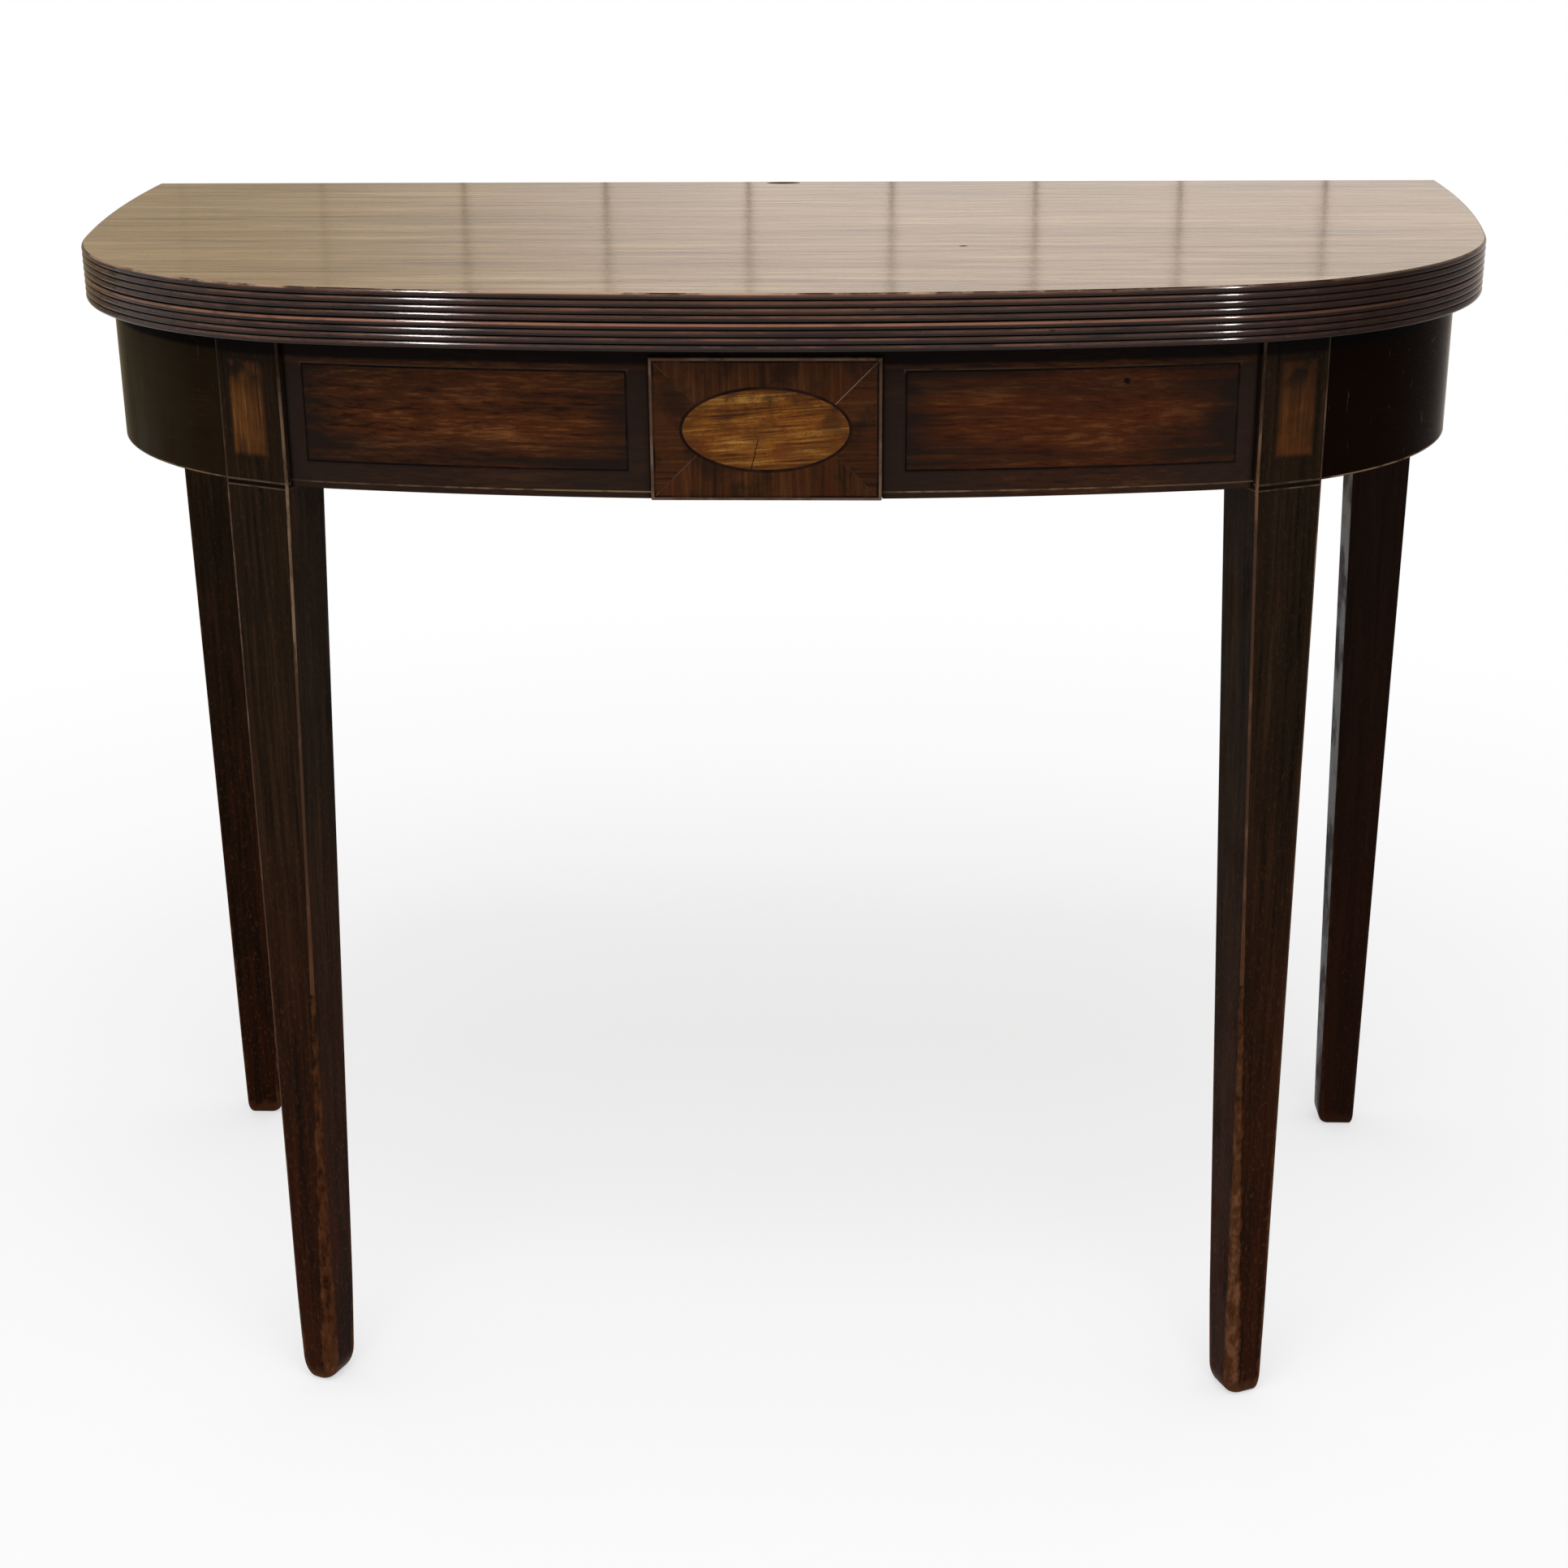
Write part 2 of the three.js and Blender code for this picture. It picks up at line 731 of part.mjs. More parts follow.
function fingers(first) {
  return fingerLevels(first).map(([low, high]) => (
    upright(knuckleRadius, knuckleStation, flyRailMiddle, low, high, knuckleSteps)
  ));
}

// The sockets between fingers run a gap past them above and below
function fingerSockets(first) {
  const radius = knuckleRadius + fingerGap;
  return fingerLevels(first).map(([low, high]) => (
    upright(radius, knuckleStation, flyRailMiddle, low - fingerGap, high + fingerGap, knuckleSteps)
  ));
}

function knuckleBore() {
  const radius = knucklePinRadius + runningGap;
  const [low, high] = [gateBottom - overrun, gateTop + overrun];
  return upright(radius, knuckleStation, flyRailMiddle, low, high, screwSteps);
}

// A rail that ends at the pivot in a shoulder bevelled at half a right angle behind
function knuckledRail(end) {
  const reach = Math.sign(end - knuckleStation) * knuckleRadius;
  const plan = [
    [knuckleStation, flyRailFront],
    [end, flyRailFront],
    [end, flyRailBack],
    [knuckleStation + reach, flyRailBack],
    [knuckleStation, flyRailMiddle],
  ];
  return slab(reach > 0 ? plan : plan.reverse(), gateBottom, gateTop);
}

function flyRail() {
  const rail = knuckledRail(rearLegOuter - rearLegWidth - glueGap);
  return cut(join([cut(rail, fingerSockets(0)), gateTenon(0), ...fingers(1)]), [knuckleBore()]);
}

function hingeRail() {
  const half = join([cut(knuckledRail(-knuckleRadius), fingerSockets(1)), ...fingers(0)]);
  const bored = cut(half, [knuckleBore()]);
  const screws = railScrewPlaces().map((place) => railScrew(place, runningGap));
  return cut(join([bored, mirrored(bored)]), screws);
}

function knucklePin() {
  return upright(knucklePinRadius, knuckleStation, flyRailMiddle, gateBottom, gateTop, screwSteps);
}

function packingRail() {
  const half = knuckleStation - packingSetback;
  const rail = block(-half, half, railBack + glueGap, flyRailFront - glueGap, friezeBottom, friezeTop);
  return cut(rail, railScrewPlaces().map((place) => railScrew(place, runningGap)));
}

// Screws

function screwProfile(head, cone, radius, length, slack) {
  return [
    [0, 0],
    [head + slack, 0],
    [radius + slack, cone],
    [radius + slack, length - head],
    [0, length + slack],
  ];
}

function railScrewPlaces() {
  const places = [];
  for (const x of [-railScrewStation, railScrewStation]) {
    for (const rise of [-railScrewRise, railScrewRise]) {
      places.push(new THREE.Vector3(x, backRailFront, friezeMiddle + rise));
    }
  }
  return places;
}

function railScrew(place, slack) {
  const profile = screwProfile(topScrewHead, topScrewCone, topScrewRadius, railScrewLength, slack);
  return turned(profile, place, new THREE.Vector3(0, 1, 0), screwSteps);
}

// Each place is a point in the middle of a rail's top, with the way out of the frame
function topScrewPlaces() {
  const middleInset = friezeOverhang + railThickness / 2;
  const frontY = frontCentre.y - Math.sqrt((frontBowRadius - middleInset) ** 2 - topScrewStation ** 2);
  const frontOut = new THREE.Vector2(topScrewStation, frontY).sub(frontCentre).normalize();
  const endX = halfWidthAt(-endScrewReach, middleInset);
  const endOut = new THREE.Vector2(endX, -endScrewReach).sub(sideCentre).normalize();
  const backOut = new THREE.Vector2(0, 1);
  const right = [
    [topScrewStation, frontY, frontOut],
    [endX, -endScrewReach, endOut],
    [backScrewStation, (railBack + backRailFront) / 2, backOut],
  ];
  const across = Math.sin(topScrewTilt);
  const up = Math.cos(topScrewTilt);
  return [1, -1].flatMap((side) => right.map(([x, y, out]) => ({
    top: new THREE.Vector3(side * x, y, friezeTop),
    way: new THREE.Vector3(side * out.x * across, out.y * across, up),
  })));
}

function topScrewStart({ top, way }) {
  return top.clone().addScaledVector(way, topScrewBite - topScrewLength);
}

function topScrew(place, slack) {
  const profile = screwProfile(topScrewHead, topScrewCone, topScrewRadius, topScrewLength, slack);
  return turned(profile, topScrewStart(place), place.way, screwSteps);
}

// The screw's bore and the gouged pocket below its head
function topScrewCutters() {
  return topScrewPlaces().flatMap((place) => {
    const pocket = [
      [0, -runningGap],
      [topScrewPocket, -runningGap],
      [topScrewPocket, topScrewPocketLength],
      [0, topScrewPocketLength],
    ];
    const down = place.way.clone().negate();
    return [topScrew(place, runningGap), turned(pocket, topScrewStart(place), down, screwSteps)];
  });
}

// Materials

function wood(colour, roughness) {
  return new THREE.MeshStandardMaterial({ color: colour, roughness, metalness: 0 });
}

function metal(colour, roughness) {
  return new THREE.MeshStandardMaterial({ color: colour, roughness, metalness: 1 });
}

const materials = {
  topMahogany: () => wood(0x8f6a4c, 0.25),
  darkMahogany: () => wood(0x3a1f16, 0.3),
  legMahogany: () => wood(0x2c1810, 0.35),
  satinwood: () => wood(0x96683a, 0.3),
  panelVeneer: () => wood(0x5a3418, 0.35),
  pine: () => wood(0x8a6a45, 0.75),
  beech: () => wood(0x6e4a2e, 0.65),
  brass: () => metal(0x9a7b3f, 0.4),
  iron: () => metal(0x4a4541, 0.55),
};

// Assembly: everything is built from the back edge and slid to the middle

const table = new THREE.Group();
table.position.y = (topDepth - tongueReach) / 2;

function add(name, geometry, material) {
  const mesh = new THREE.Mesh(weld(geometry), materials[material]());
  mesh.name = name;
  table.add(mesh);
  return mesh;
}

function addLeftAndRight(name, geometry, material) {
  add(`${name}_right`, geometry, material);
  add(`${name}_left`, mirrored(geometry), material);
}

function addFrontLegPiece(name, geometry, material) {
  for (const side of [1, -1]) {
    const mesh = add(`${name}_${side > 0 ? 'right' : 'left'}`, onSide(side, geometry), material);
    mesh.position.set(side * frontLegPlace.x, frontLegPlace.y, 0);
    mesh.rotation.z = side * frontLegPlace.turn;
  }
}

add('fixed_leaf', fixedLeaf(), 'topMahogany');
add('folding_leaf', foldingLeaf(), 'topMahogany');
add('leaf_tongue', tongueBlock(0, tongueReach), 'beech');

addLeftAndRight('hinge_plate_fixed', fixedHingePlate(), 'brass');
addLeftAndRight('hinge_plate_folding', foldingHingePlate(), 'brass');
addLeftAndRight('hinge_pin', hingePin(), 'brass');
for (const [leafName, up] of [['fixed', -1], ['folding', 1]]) {
  hingeScrewPlaces(up).forEach((place, i) => {
    addLeftAndRight(`hinge_screw_${leafName}_${i + 1}`, hingeScrew(place, 0), 'brass');
  });
}

add('front_rail', frontRail(), 'darkMahogany');
addLeftAndRight('end_rail', endRail(), 'darkMahogany');
add('back_rail', backRail(), 'pine');
add('medial_brace', medialBrace(), 'pine');
addLeftAndRight('corner_block', cornerBlock(), 'pine');

add('centre_tablet', centreTablet(), 'darkMahogany');
add('tablet_oval', tabletOval(), 'satinwood');

addFrontLegPiece('front_leg', frontLeg(), 'legMahogany');
addFrontLegPiece('leg_panel', legPanelBlock(0), 'panelVeneer');

add('hinge_rail', hingeRail(), 'beech');
add('packing_rail', packingRail(), 'pine');
addLeftAndRight('fly_rail', flyRail(), 'beech');
addLeftAndRight('rear_leg', rearLeg(), 'legMahogany');
addLeftAndRight('knuckle_pin', knucklePin(), 'iron');

topScrewPlaces().forEach((place, i) => add(`top_screw_${i + 1}`, topScrew(place, 0), 'iron'));
railScrewPlaces().forEach((place, i) => add(`rail_screw_${i + 1}`, railScrew(place, 0), 'iron'));

export default table;
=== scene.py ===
import math

import bmesh
import bpy
from mathutils import Matrix, Vector


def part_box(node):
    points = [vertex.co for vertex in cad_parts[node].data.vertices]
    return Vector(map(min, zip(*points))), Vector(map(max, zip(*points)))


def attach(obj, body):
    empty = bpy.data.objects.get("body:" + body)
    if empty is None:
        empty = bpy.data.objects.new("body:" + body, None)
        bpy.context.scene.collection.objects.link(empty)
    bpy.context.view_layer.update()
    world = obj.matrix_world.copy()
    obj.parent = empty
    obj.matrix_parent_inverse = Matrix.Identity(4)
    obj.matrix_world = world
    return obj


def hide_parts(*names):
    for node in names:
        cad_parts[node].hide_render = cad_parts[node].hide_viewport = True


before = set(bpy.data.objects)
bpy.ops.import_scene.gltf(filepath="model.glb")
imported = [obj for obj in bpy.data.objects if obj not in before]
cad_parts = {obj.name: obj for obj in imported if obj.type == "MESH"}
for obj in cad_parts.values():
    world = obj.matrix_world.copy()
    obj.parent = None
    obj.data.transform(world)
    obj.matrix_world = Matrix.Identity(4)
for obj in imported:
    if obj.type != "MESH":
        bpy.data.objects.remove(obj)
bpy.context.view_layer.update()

# Carcase: a back rail, a brace and corner blocks of sawn pine, tenoned and glued behind the
# mahogany frieze, with a packing rail behind the back rail. Never polished, they have gone
# brown with two centuries of dust, and show their saw marks and growth rings.

SAW_MARK_STEP = 0.0042
PINE = (0.115, 0.062, 0.028, 1), (0.235, 0.140, 0.066, 1), (0.330, 0.215, 0.110, 1)
PORE_TINT = (0.45, 0.42, 0.40)
DUST = (0.120, 0.092, 0.064, 1)
ALONG_X, ALONG_Y, ALONG_Z = (0, 0, 0), (0, 0, math.pi / 2), (0, math.pi / 2, 0)


def put(tree, kind, feeds=None, **options):
    """Adds a node, sets its options and feeds its sockets from values or other sockets."""
    made = tree.nodes.new(kind)
    for name, value in options.items():
        setattr(made, name, value)
    for key, value in (feeds or {}).items():
        if isinstance(value, bpy.types.NodeSocket):
            tree.links.new(value, made.inputs[key])
        else:
            made.inputs[key].default_value = value
    return made


def sums(tree, operation, *values):
    """What a Math node makes of some values, each a number or a socket."""
    return put(tree, "ShaderNodeMath", dict(enumerate(values)), operation=operation).outputs[0]


def times(tree, first, *others):
    for other in others:
        first = sums(tree, "MULTIPLY", first, other)
    return first


def plus(tree, first, *others):
    for other in others:
        first = sums(tree, "ADD", first, other)
    return first


def less(tree, first, second):
    return sums(tree, "SUBTRACT", first, second)


def size_of(tree, value):
    return sums(tree, "ABSOLUTE", value)


def eased(tree, value, low, high, start=0.0, end=1.0, kind="SMOOTHSTEP"):
    """A value taken from low..high to start..end, eased at both ends."""
    feeds = {"Value": value, "From Min": low, "From Max": high, "To Min": start, "To Max": end}
    return put(tree, "ShaderNodeMapRange", feeds, interpolation_type=kind).outputs[0]


def tinted(tree, share, first, second):
    """The first colour going over to the second by a share."""
    return put(tree, "ShaderNodeMix", {0: share, 6: first, 7: second}, data_type="RGBA").outputs[2]


def layered(tree, colour, *coats):
    """A colour with coats laid over it one after another, each coat a share and its tint."""
    for share, tint in coats:
        colour = tinted(tree, share, colour, tint)
    return colour


def axis(tree, vector, number):
    return put(tree, "ShaderNodeSeparateXYZ", {0: vector}).outputs[number]


def moved(tree, vector, **changes):
    return put(tree, "ShaderNodeMapping", {"Vector": vector, **changes}).outputs[0]


def object_place(tree, turn=None):
    """Object coordinates in metres, turned where need be so that the grain runs along X."""
    place = put(tree, "ShaderNodeTexCoord").outputs["Object"]
    return moved(tree, place, Rotation=turn) if turn else place


def cloudy(tree, vector, size, detail=3.0, roughness=0.55, stretch=(1, 1, 1)):
    """Soft noise round 0.5, finer where the size is greater."""
    feeds = {"Vector": moved(tree, vector, Scale=stretch), "Scale": size, "Detail": detail, "Roughness": roughness}
    return put(tree, "ShaderNodeTexNoise", feeds).outputs["Fac"]


def effect(name, sockets, results):
    """An empty shader node group with named inputs and outputs."""
    group = bpy.data.node_groups.new(name, "ShaderNodeTree")
    kinds = {"vector": "NodeSocketVector", "colour": "NodeSocketColor", "value": "NodeSocketFloat"}
    for label, kind, value in sockets:
        socket = group.interface.new_socket(name=label, in_out="INPUT", socket_type=kinds[kind])
        if value is not None:
            socket.default_value = value
    for label, kind in results:
        group.interface.new_socket(name=label, in_out="OUTPUT", socket_type=kinds[kind])
    return group, group.nodes.new("NodeGroupInput").outputs, group.nodes.new("NodeGroupOutput").inputs


def sawn_grain():
    """Wood grain that runs along X: fine streaks, wide ribbons, a slow wander and open pores."""
    group, given, result = effect(
        "wood grain",
        [("Vector", "vector", None), ("Dark", "colour", None), ("Middle", "colour", None),
         ("Light", "colour", None), ("Size", "value", 1.0), ("Ribbon", "value", 0.5), ("Pore", "value", 0.6)],
        [("Color", "colour"), ("Height", "value"), ("Figure", "value")])
    wander = cloudy(group, given["Vector"], 1.0, 2.0, 0.5, (2.2, 9, 9))
    shift = sums(group, "MULTIPLY_ADD", wander, 0.012, -0.006)
    offset = put(group, "ShaderNodeCombineXYZ", {"Y": shift, "Z": shift}).outputs[0]
    path = put(group, "ShaderNodeVectorMath", {0: given["Vector"], 1: offset}, operation="ADD").outputs[0]
    scaled = put(group, "ShaderNodeVectorMath", {0: path, "Scale": given["Size"]}, operation="SCALE").outputs[0]
    streak = cloudy(group, scaled, 1.0, 7.0, 0.62, (7, 210, 210))
    ribbon = cloudy(group, scaled, 1.0, 3.0, 0.5, (1.6, 34, 34))
    pore = eased(group, cloudy(group, scaled, 1.0, 2.0, 0.5, (85, 1500, 1500)), 0.60, 0.70)
    balance = put(group, "ShaderNodeMix", {0: given["Ribbon"], 2: streak, 3: ribbon}, data_type="FLOAT").outputs[0]
    full = layered(group, given["Dark"], (eased(group, balance, 0.36, 0.50), given["Middle"]),
                   (eased(group, balance, 0.50, 0.66), given["Light"]))
    dots = times(group, pore, given["Pore"])
    darker = put(group, "ShaderNodeVectorMath", {0: given["Dark"], 1: PORE_TINT}, operation="MULTIPLY").outputs[0]
    group.links.new(tinted(group, dots, full, darker), result["Color"])
    group.links.new(less(group, times(group, streak, 0.35), dots), result["Height"])
    group.links.new(balance, result["Figure"])
    return group


def settled_dirt():
    """Where dust, smoke and old wax have settled: soft blots at two sizes."""
    group, given, result = effect(
        "settled dirt",
        [("Vector", "vector", None), ("Scale", "value", 9.0), ("Least", "value", 0.45), ("Most", "value", 0.7)],
        [("Dirt", "value")])
    wide = cloudy(group, given["Vector"], given["Scale"], 5.0, 0.62)
    group.links.new(eased(group, wide, given["Least"], given["Most"]), result["Dirt"])
    return group


GRAIN = sawn_grain()
DIRT = settled_dirt()


def grouped(tree, group, feeds):
    return put(tree, "ShaderNodeGroup", feeds, node_tree=group).outputs


def wood_on(tree, vector, tones, size, ribbon, pore):
    """Wood grain in three tones, as a colour, a height and a figure."""
    dark, middle, light = tones
    return grouped(tree, GRAIN, {"Vector": vector, "Dark": dark, "Middle": middle, "Light": light,
                                 "Size": size, "Ribbon": ribbon, "Pore": pore})


def dirt_on(tree, vector, scale, least, most):
    return grouped(tree, DIRT, {"Vector": vector, "Scale": scale, "Least": least, "Most": most})["Dirt"]


def new_finish(name, **constants):
    """A material with its node tree and Principled shader, constants set on the shader itself."""
    material = bpy.data.materials.new(name)
    material.use_nodes = True
    shader = material.node_tree.nodes["Principled BSDF"]
    for key, value in constants.items():
        shader.inputs[key.replace("_", " ")].default_value = value
    return material, material.node_tree, shader


def surface(tree, shader, colour, roughness, height, strength, distance):
    """Feeds a shader its colour, its roughness and, through a bump, its relief."""
    tree.links.new(colour, shader.inputs["Base Color"])
    tree.links.new(roughness, shader.inputs["Roughness"])
    bump = put(tree, "ShaderNodeBump", {"Height": height, "Strength": strength, "Distance": distance})
    tree.links.new(bump.outputs[0], shader.inputs["Normal"])


def sawn_timber(name, turn, tones, size, saw_marks=0.6):
    """Unpolished structural wood with saw marks across the grain and grime."""
    material, tree, shader = new_finish(name, Specular_IOR_Level=0.1)
    place = object_place(tree, turn)
    wood = wood_on(tree, place, tones, size, 0.55, 0.25)
    dirt = dirt_on(tree, place, 14.0, 0.42, 0.72)
    marks = put(tree, "ShaderNodeTexWave", {
        "Vector": place, "Scale": 1 / SAW_MARK_STEP / 6.283, "Distortion": 1.2, "Detail": 2.0, "Detail Scale": 3.0},
        bands_direction="X").outputs["Fac"]
    relief = sums(tree, "MULTIPLY_ADD", marks, saw_marks, wood["Height"])
    surface(tree, shader, tinted(tree, times(tree, dirt, 0.34), wood["Color"], DUST),
            eased(tree, dirt, 0, 1, 0.62, 0.82), relief, 0.5, 0.0003)
    return material


def dress(names, material):
    """Gives CAD nodes that stay in sight their finish."""
    for name in names:
        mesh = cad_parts[name].data
        mesh.materials.clear()
        mesh.materials.append(material)


dress(["back_rail", "packing_rail"], sawn_timber("pine across", ALONG_X, PINE, 0.45))
dress(["medial_brace"], sawn_timber("pine front to back", ALONG_Y, PINE, 0.5))
dress(["corner_block_right", "corner_block_left"], sawn_timber("pine upright", ALONG_Z, PINE, 0.6))

# Frieze rails: bowed rails sawn from thick mahogany, open inside where the pocket screws go in.
# Their faces are veneered, so the raw wood shows only inside and below.

RAW_WOOD = (0.040, 0.018, 0.009, 1), (0.085, 0.040, 0.020, 1), (0.130, 0.068, 0.034, 1)

raw_mahogany = sawn_timber("raw mahogany", ALONG_X, RAW_WOOD, 0.8, 0.4)
dress(["front_rail", "end_rail_right", "end_rail_left"], raw_mahogany)

# Frieze veneer: dark mahogany laid round the rails, its grain along the curve. Each front
# field is framed by a black line with a brown one outside it, and a border painted a dull grey for the sheen of its
# polish.
# A thin boxwood line runs above the lower edge, and along it on the ends.

BACK_EDGE = 0.2315
TOP_HALF_WIDTH, TOP_DEPTH = 0.459, 0.468
SIDE_BOW, CORNER_BOW, FRONT_BOW = 1.600, 0.228, 1.440
FRIEZE_OVERHANG = 0.0165
FRIEZE_BOTTOM, FRIEZE_TOP = 0.6205, 0.7070
VENEER_PROUD, VENEER_DEPTH, VENEER_LIP, VENEER_ARRIS = 0.00018, 0.0010, 0.00010, 0.0003
TABLET_GAP, LEG_GAP, REAR_GAP = 0.0003, 0.0006, 0.0505
TABLET_HALF_WIDTH = 0.0655
FIELD_INNER, FIELD_OUTER = 0.0790, 0.2690
FIELD_LOW, FIELD_HIGH = 0.6366, 0.6932
BLACK_LINE, BROWN_LINE, LINE_BLUR = 0.0011, 0.0009, 0.00018
LOW_LINE_RISE, END_LINE_RISE, LOW_LINE = 0.0038, 0.0006, 0.0007
DARK_BELOW_TOP = 0.0114
KNOT_TRAVEL, KNOT_HEIGHT = 0.204, 0.6854
LEG_PLACE = Vector((0.3010, -0.18527, 0))
LEG_TURN = math.radians(24.2024)
LEG_HALF_WIDTH = 0.022
LEG_FACE = LEG_PLACE.x - LEG_HALF_WIDTH * math.cos(LEG_TURN)
VENEER = (0.0110, 0.0048, 0.0024, 1), (0.0540, 0.0160, 0.0048, 1), (0.1420, 0.0520, 0.0150, 1)
VENEER_RED = (0.0560, 0.0120, 0.0032, 1)
END_SHADED_BLACK = (0.0042, 0.0016, 0.0008, 1)
FRIEZE_SHADE = (0.0072, 0.0040, 0.0024, 1)
EBONY = (0.0030, 0.0022, 0.0020, 1)
FIELD_SHADE = (0.0125, 0.0072, 0.0050, 1)
BORDER_SHEEN_GREY = (0.0158, 0.0098, 0.0072, 1)
OLIVE_BLOOM_LIT = (0.043, 0.034, 0.0180, 1)
OLIVE_DARK = (0.0130, 0.0086, 0.0038, 1)
SCRATCH = (0.085, 0.062, 0.048, 1)
BROWN_STRING = (0.0165, 0.0080, 0.0052, 1)
TAN_STRING = (0.044, 0.023, 0.013, 1)
BOXWOOD = (0.160, 0.100, 0.052, 1)


def crossing(first, first_radius, second, second_radius):
    """Where two circles meet, on the side away from the middle of the table."""
    between = second - first
    distance = between.length
    along = (first_radius ** 2 - second_radius ** 2 + distance ** 2) / (2 * distance)
    across = math.sqrt(first_radius ** 2 - along ** 2)
    unit = between / distance
    return Vector((first.x + unit.x * along + unit.y * across, first.y + unit.y * along - unit.x * across))


SIDE_CENTRE = Vector((TOP_HALF_WIDTH - SIDE_BOW, BACK_EDGE))
FRONT_CENTRE = Vector((0, FRONT_BOW - TOP_DEPTH + BACK_EDGE))
CORNER_CENTRE = crossing(SIDE_CENTRE, SIDE_BOW - CORNER_BOW, FRONT_CENTRE, FRONT_BOW - CORNER_BOW)
CORNER_START = math.atan2(*(CORNER_CENTRE - FRONT_CENTRE).yx)
CORNER_END = math.atan2(*(CORNER_CENTRE - SIDE_CENTRE).yx)
D_ARCS = [(FRONT_CENTRE, FRONT_BOW, -math.pi / 2, CORNER_START),
          (CORNER_CENTRE, CORNER_BOW, CORNER_START, CORNER_END),
          (SIDE_CENTRE, SIDE_BOW, CORNER_END, 0.0)]


def half_length(inset):
    """How far it is round the D from the front middle to the back edge, at an inset."""
    return sum((radius - inset) * (end - start) for _, radius, start, end in D_ARCS)


def on_d(inset, travel):
    """A point of the D and its outward direction, at a travel from the front middle, right is plus."""
    left, side = abs(travel), math.copysign(1, travel)
    for centre, radius, start, end in D_ARCS:
        length = (radius - inset) * (end - start)
        if left <= length + 1e-9 or end == 0.0:
            angle = start + left / (radius - inset)
            out = Vector((math.cos(angle), math.sin(angle)))
            place = centre + out * (radius - inset)
            return Vector((side * place.x, place.y)), Vector((side * out.x, out.y))
        left -= length


def travel_at(inset, x):
    """The travel at which the D reaches a half width, found by halving."""
    low, high = 0.0, half_length(inset)
    for _ in range(50):
        middle = (low + high) / 2
        low, high = (middle, high) if on_d(inset, middle)[0].x < x else (low, middle)
    return low


KNOT = (*on_d(FRIEZE_OVERHANG, KNOT_TRAVEL)[0], KNOT_HEIGHT)


def on_scene(name, data):
    """An object that shows a mesh, lamp or camera in the scene."""
    piece = bpy.data.objects.new(name, data)
    bpy.context.scene.collection.objects.link(piece)
    return piece


def smooth_skin(mesh, sharp):
    """Turns a mesh's normals out and rounds its shading, but for edges sharper than an angle."""
    shell = bmesh.new()
    shell.from_mesh(mesh)
    bmesh.ops.recalc_face_normals(shell, faces=shell.faces)
    shell.to_mesh(mesh)
    shell.free()
    mesh.shade_smooth()
    mesh.set_sharp_from_angle(angle=math.radians(sharp))


def make_piece(name, points, faces, materials, face_slots=None, values=None, uv=None, sharp=35):
    """A mesh object from points and faces, its normals out, with point values and face corners' UV."""
    mesh = bpy.data.meshes.new(name)
    mesh.from_pydata([tuple(p) for p in points], [], faces)
    for material in materials:
        mesh.materials.append(material)
    for key, column in (values or {}).items():
        mesh.attributes.new(key, "FLOAT", "POINT").data.foreach_set("value", column)
    if face_slots:
        mesh.polygons.foreach_set("material_index", face_slots)
    if uv:
        layer = mesh.uv_layers.new(name="face")
        for loop in mesh.loops:
            layer.data[loop.index].uv = uv[loop.vertex_index]
    smooth_skin(mesh, sharp)
    for face in mesh.polygons:
        face.use_smooth = len(face.vertices) <= 4
    return on_scene(name, mesh)


def skin(rings, count):
    """The faces between neighbouring rings of points, each ring closed on itself."""
    steps = [(r * count, i, (i + 1) % count) for r in range(rings - 1) for i in range(count)]
    return [(low + i, low + j, low + count + j, low + count + i) for low, i, j in steps]


def caps(rings, count):
    """The faces that close the first and the last ring."""
    last = (rings - 1) * count
    return [tuple(range(count)), tuple(range(last, last + count))]


def settle(piece, body, slot, *stands_for):
    """Fixes a finished piece to its CAD body and hides the CAD parts it stands for."""
    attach(piece, body)
    if stands_for:
        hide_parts(*stands_for)
    return piece


def veneer_band(name, start, stop, steps, centre, material, bottom=FRIEZE_BOTTOM):
    """A curved sheet of veneer from one travel to another, laid on the rail's face and glued to it."""
    low, high = bottom - VENEER_LIP, FRIEZE_TOP + VENEER_LIP
    section = [(-VENEER_PROUD, low + VENEER_ARRIS), (-VENEER_PROUD, high), (VENEER_DEPTH, high), (VENEER_DEPTH, low),
               (-VENEER_PROUD + VENEER_ARRIS, low)]
    points, uv = [], []
    for i in range(steps + 1):
        travel = start + (stop - start) * i / steps
        place, out = on_d(FRIEZE_OVERHANG, travel)
        for depth, z in section:
            points.append((*(place - out * depth), z))
            uv.append((travel - centre, z))
    faces = skin(steps + 1, len(section)) + caps(steps + 1, len(section))
    band = make_piece(name, points, faces, [material], uv=uv)
    settle(band, "table_frame", "frieze_mahogany")


def frame_distance():
    """How far a point on a face lies outside a rectangle about the UV's own origin."""
    group, given, result = effect(
        "distance from a frame",
        [("Vector", "vector", None), ("Half width", "value", 0.1), ("Half height", "value", 0.03),
         ("Middle height", "value", 0.66)],
        [("Distance", "value")])
    rise = size_of(group, less(group, axis(group, given["Vector"], 1), given["Middle height"]))
    wide = less(group, size_of(group, axis(group, given["Vector"], 0)), given["Half width"])
    high = less(group, rise, given["Half height"])
    group.links.new(sums(group, "MAXIMUM", wide, high), result["Distance"])
    return group


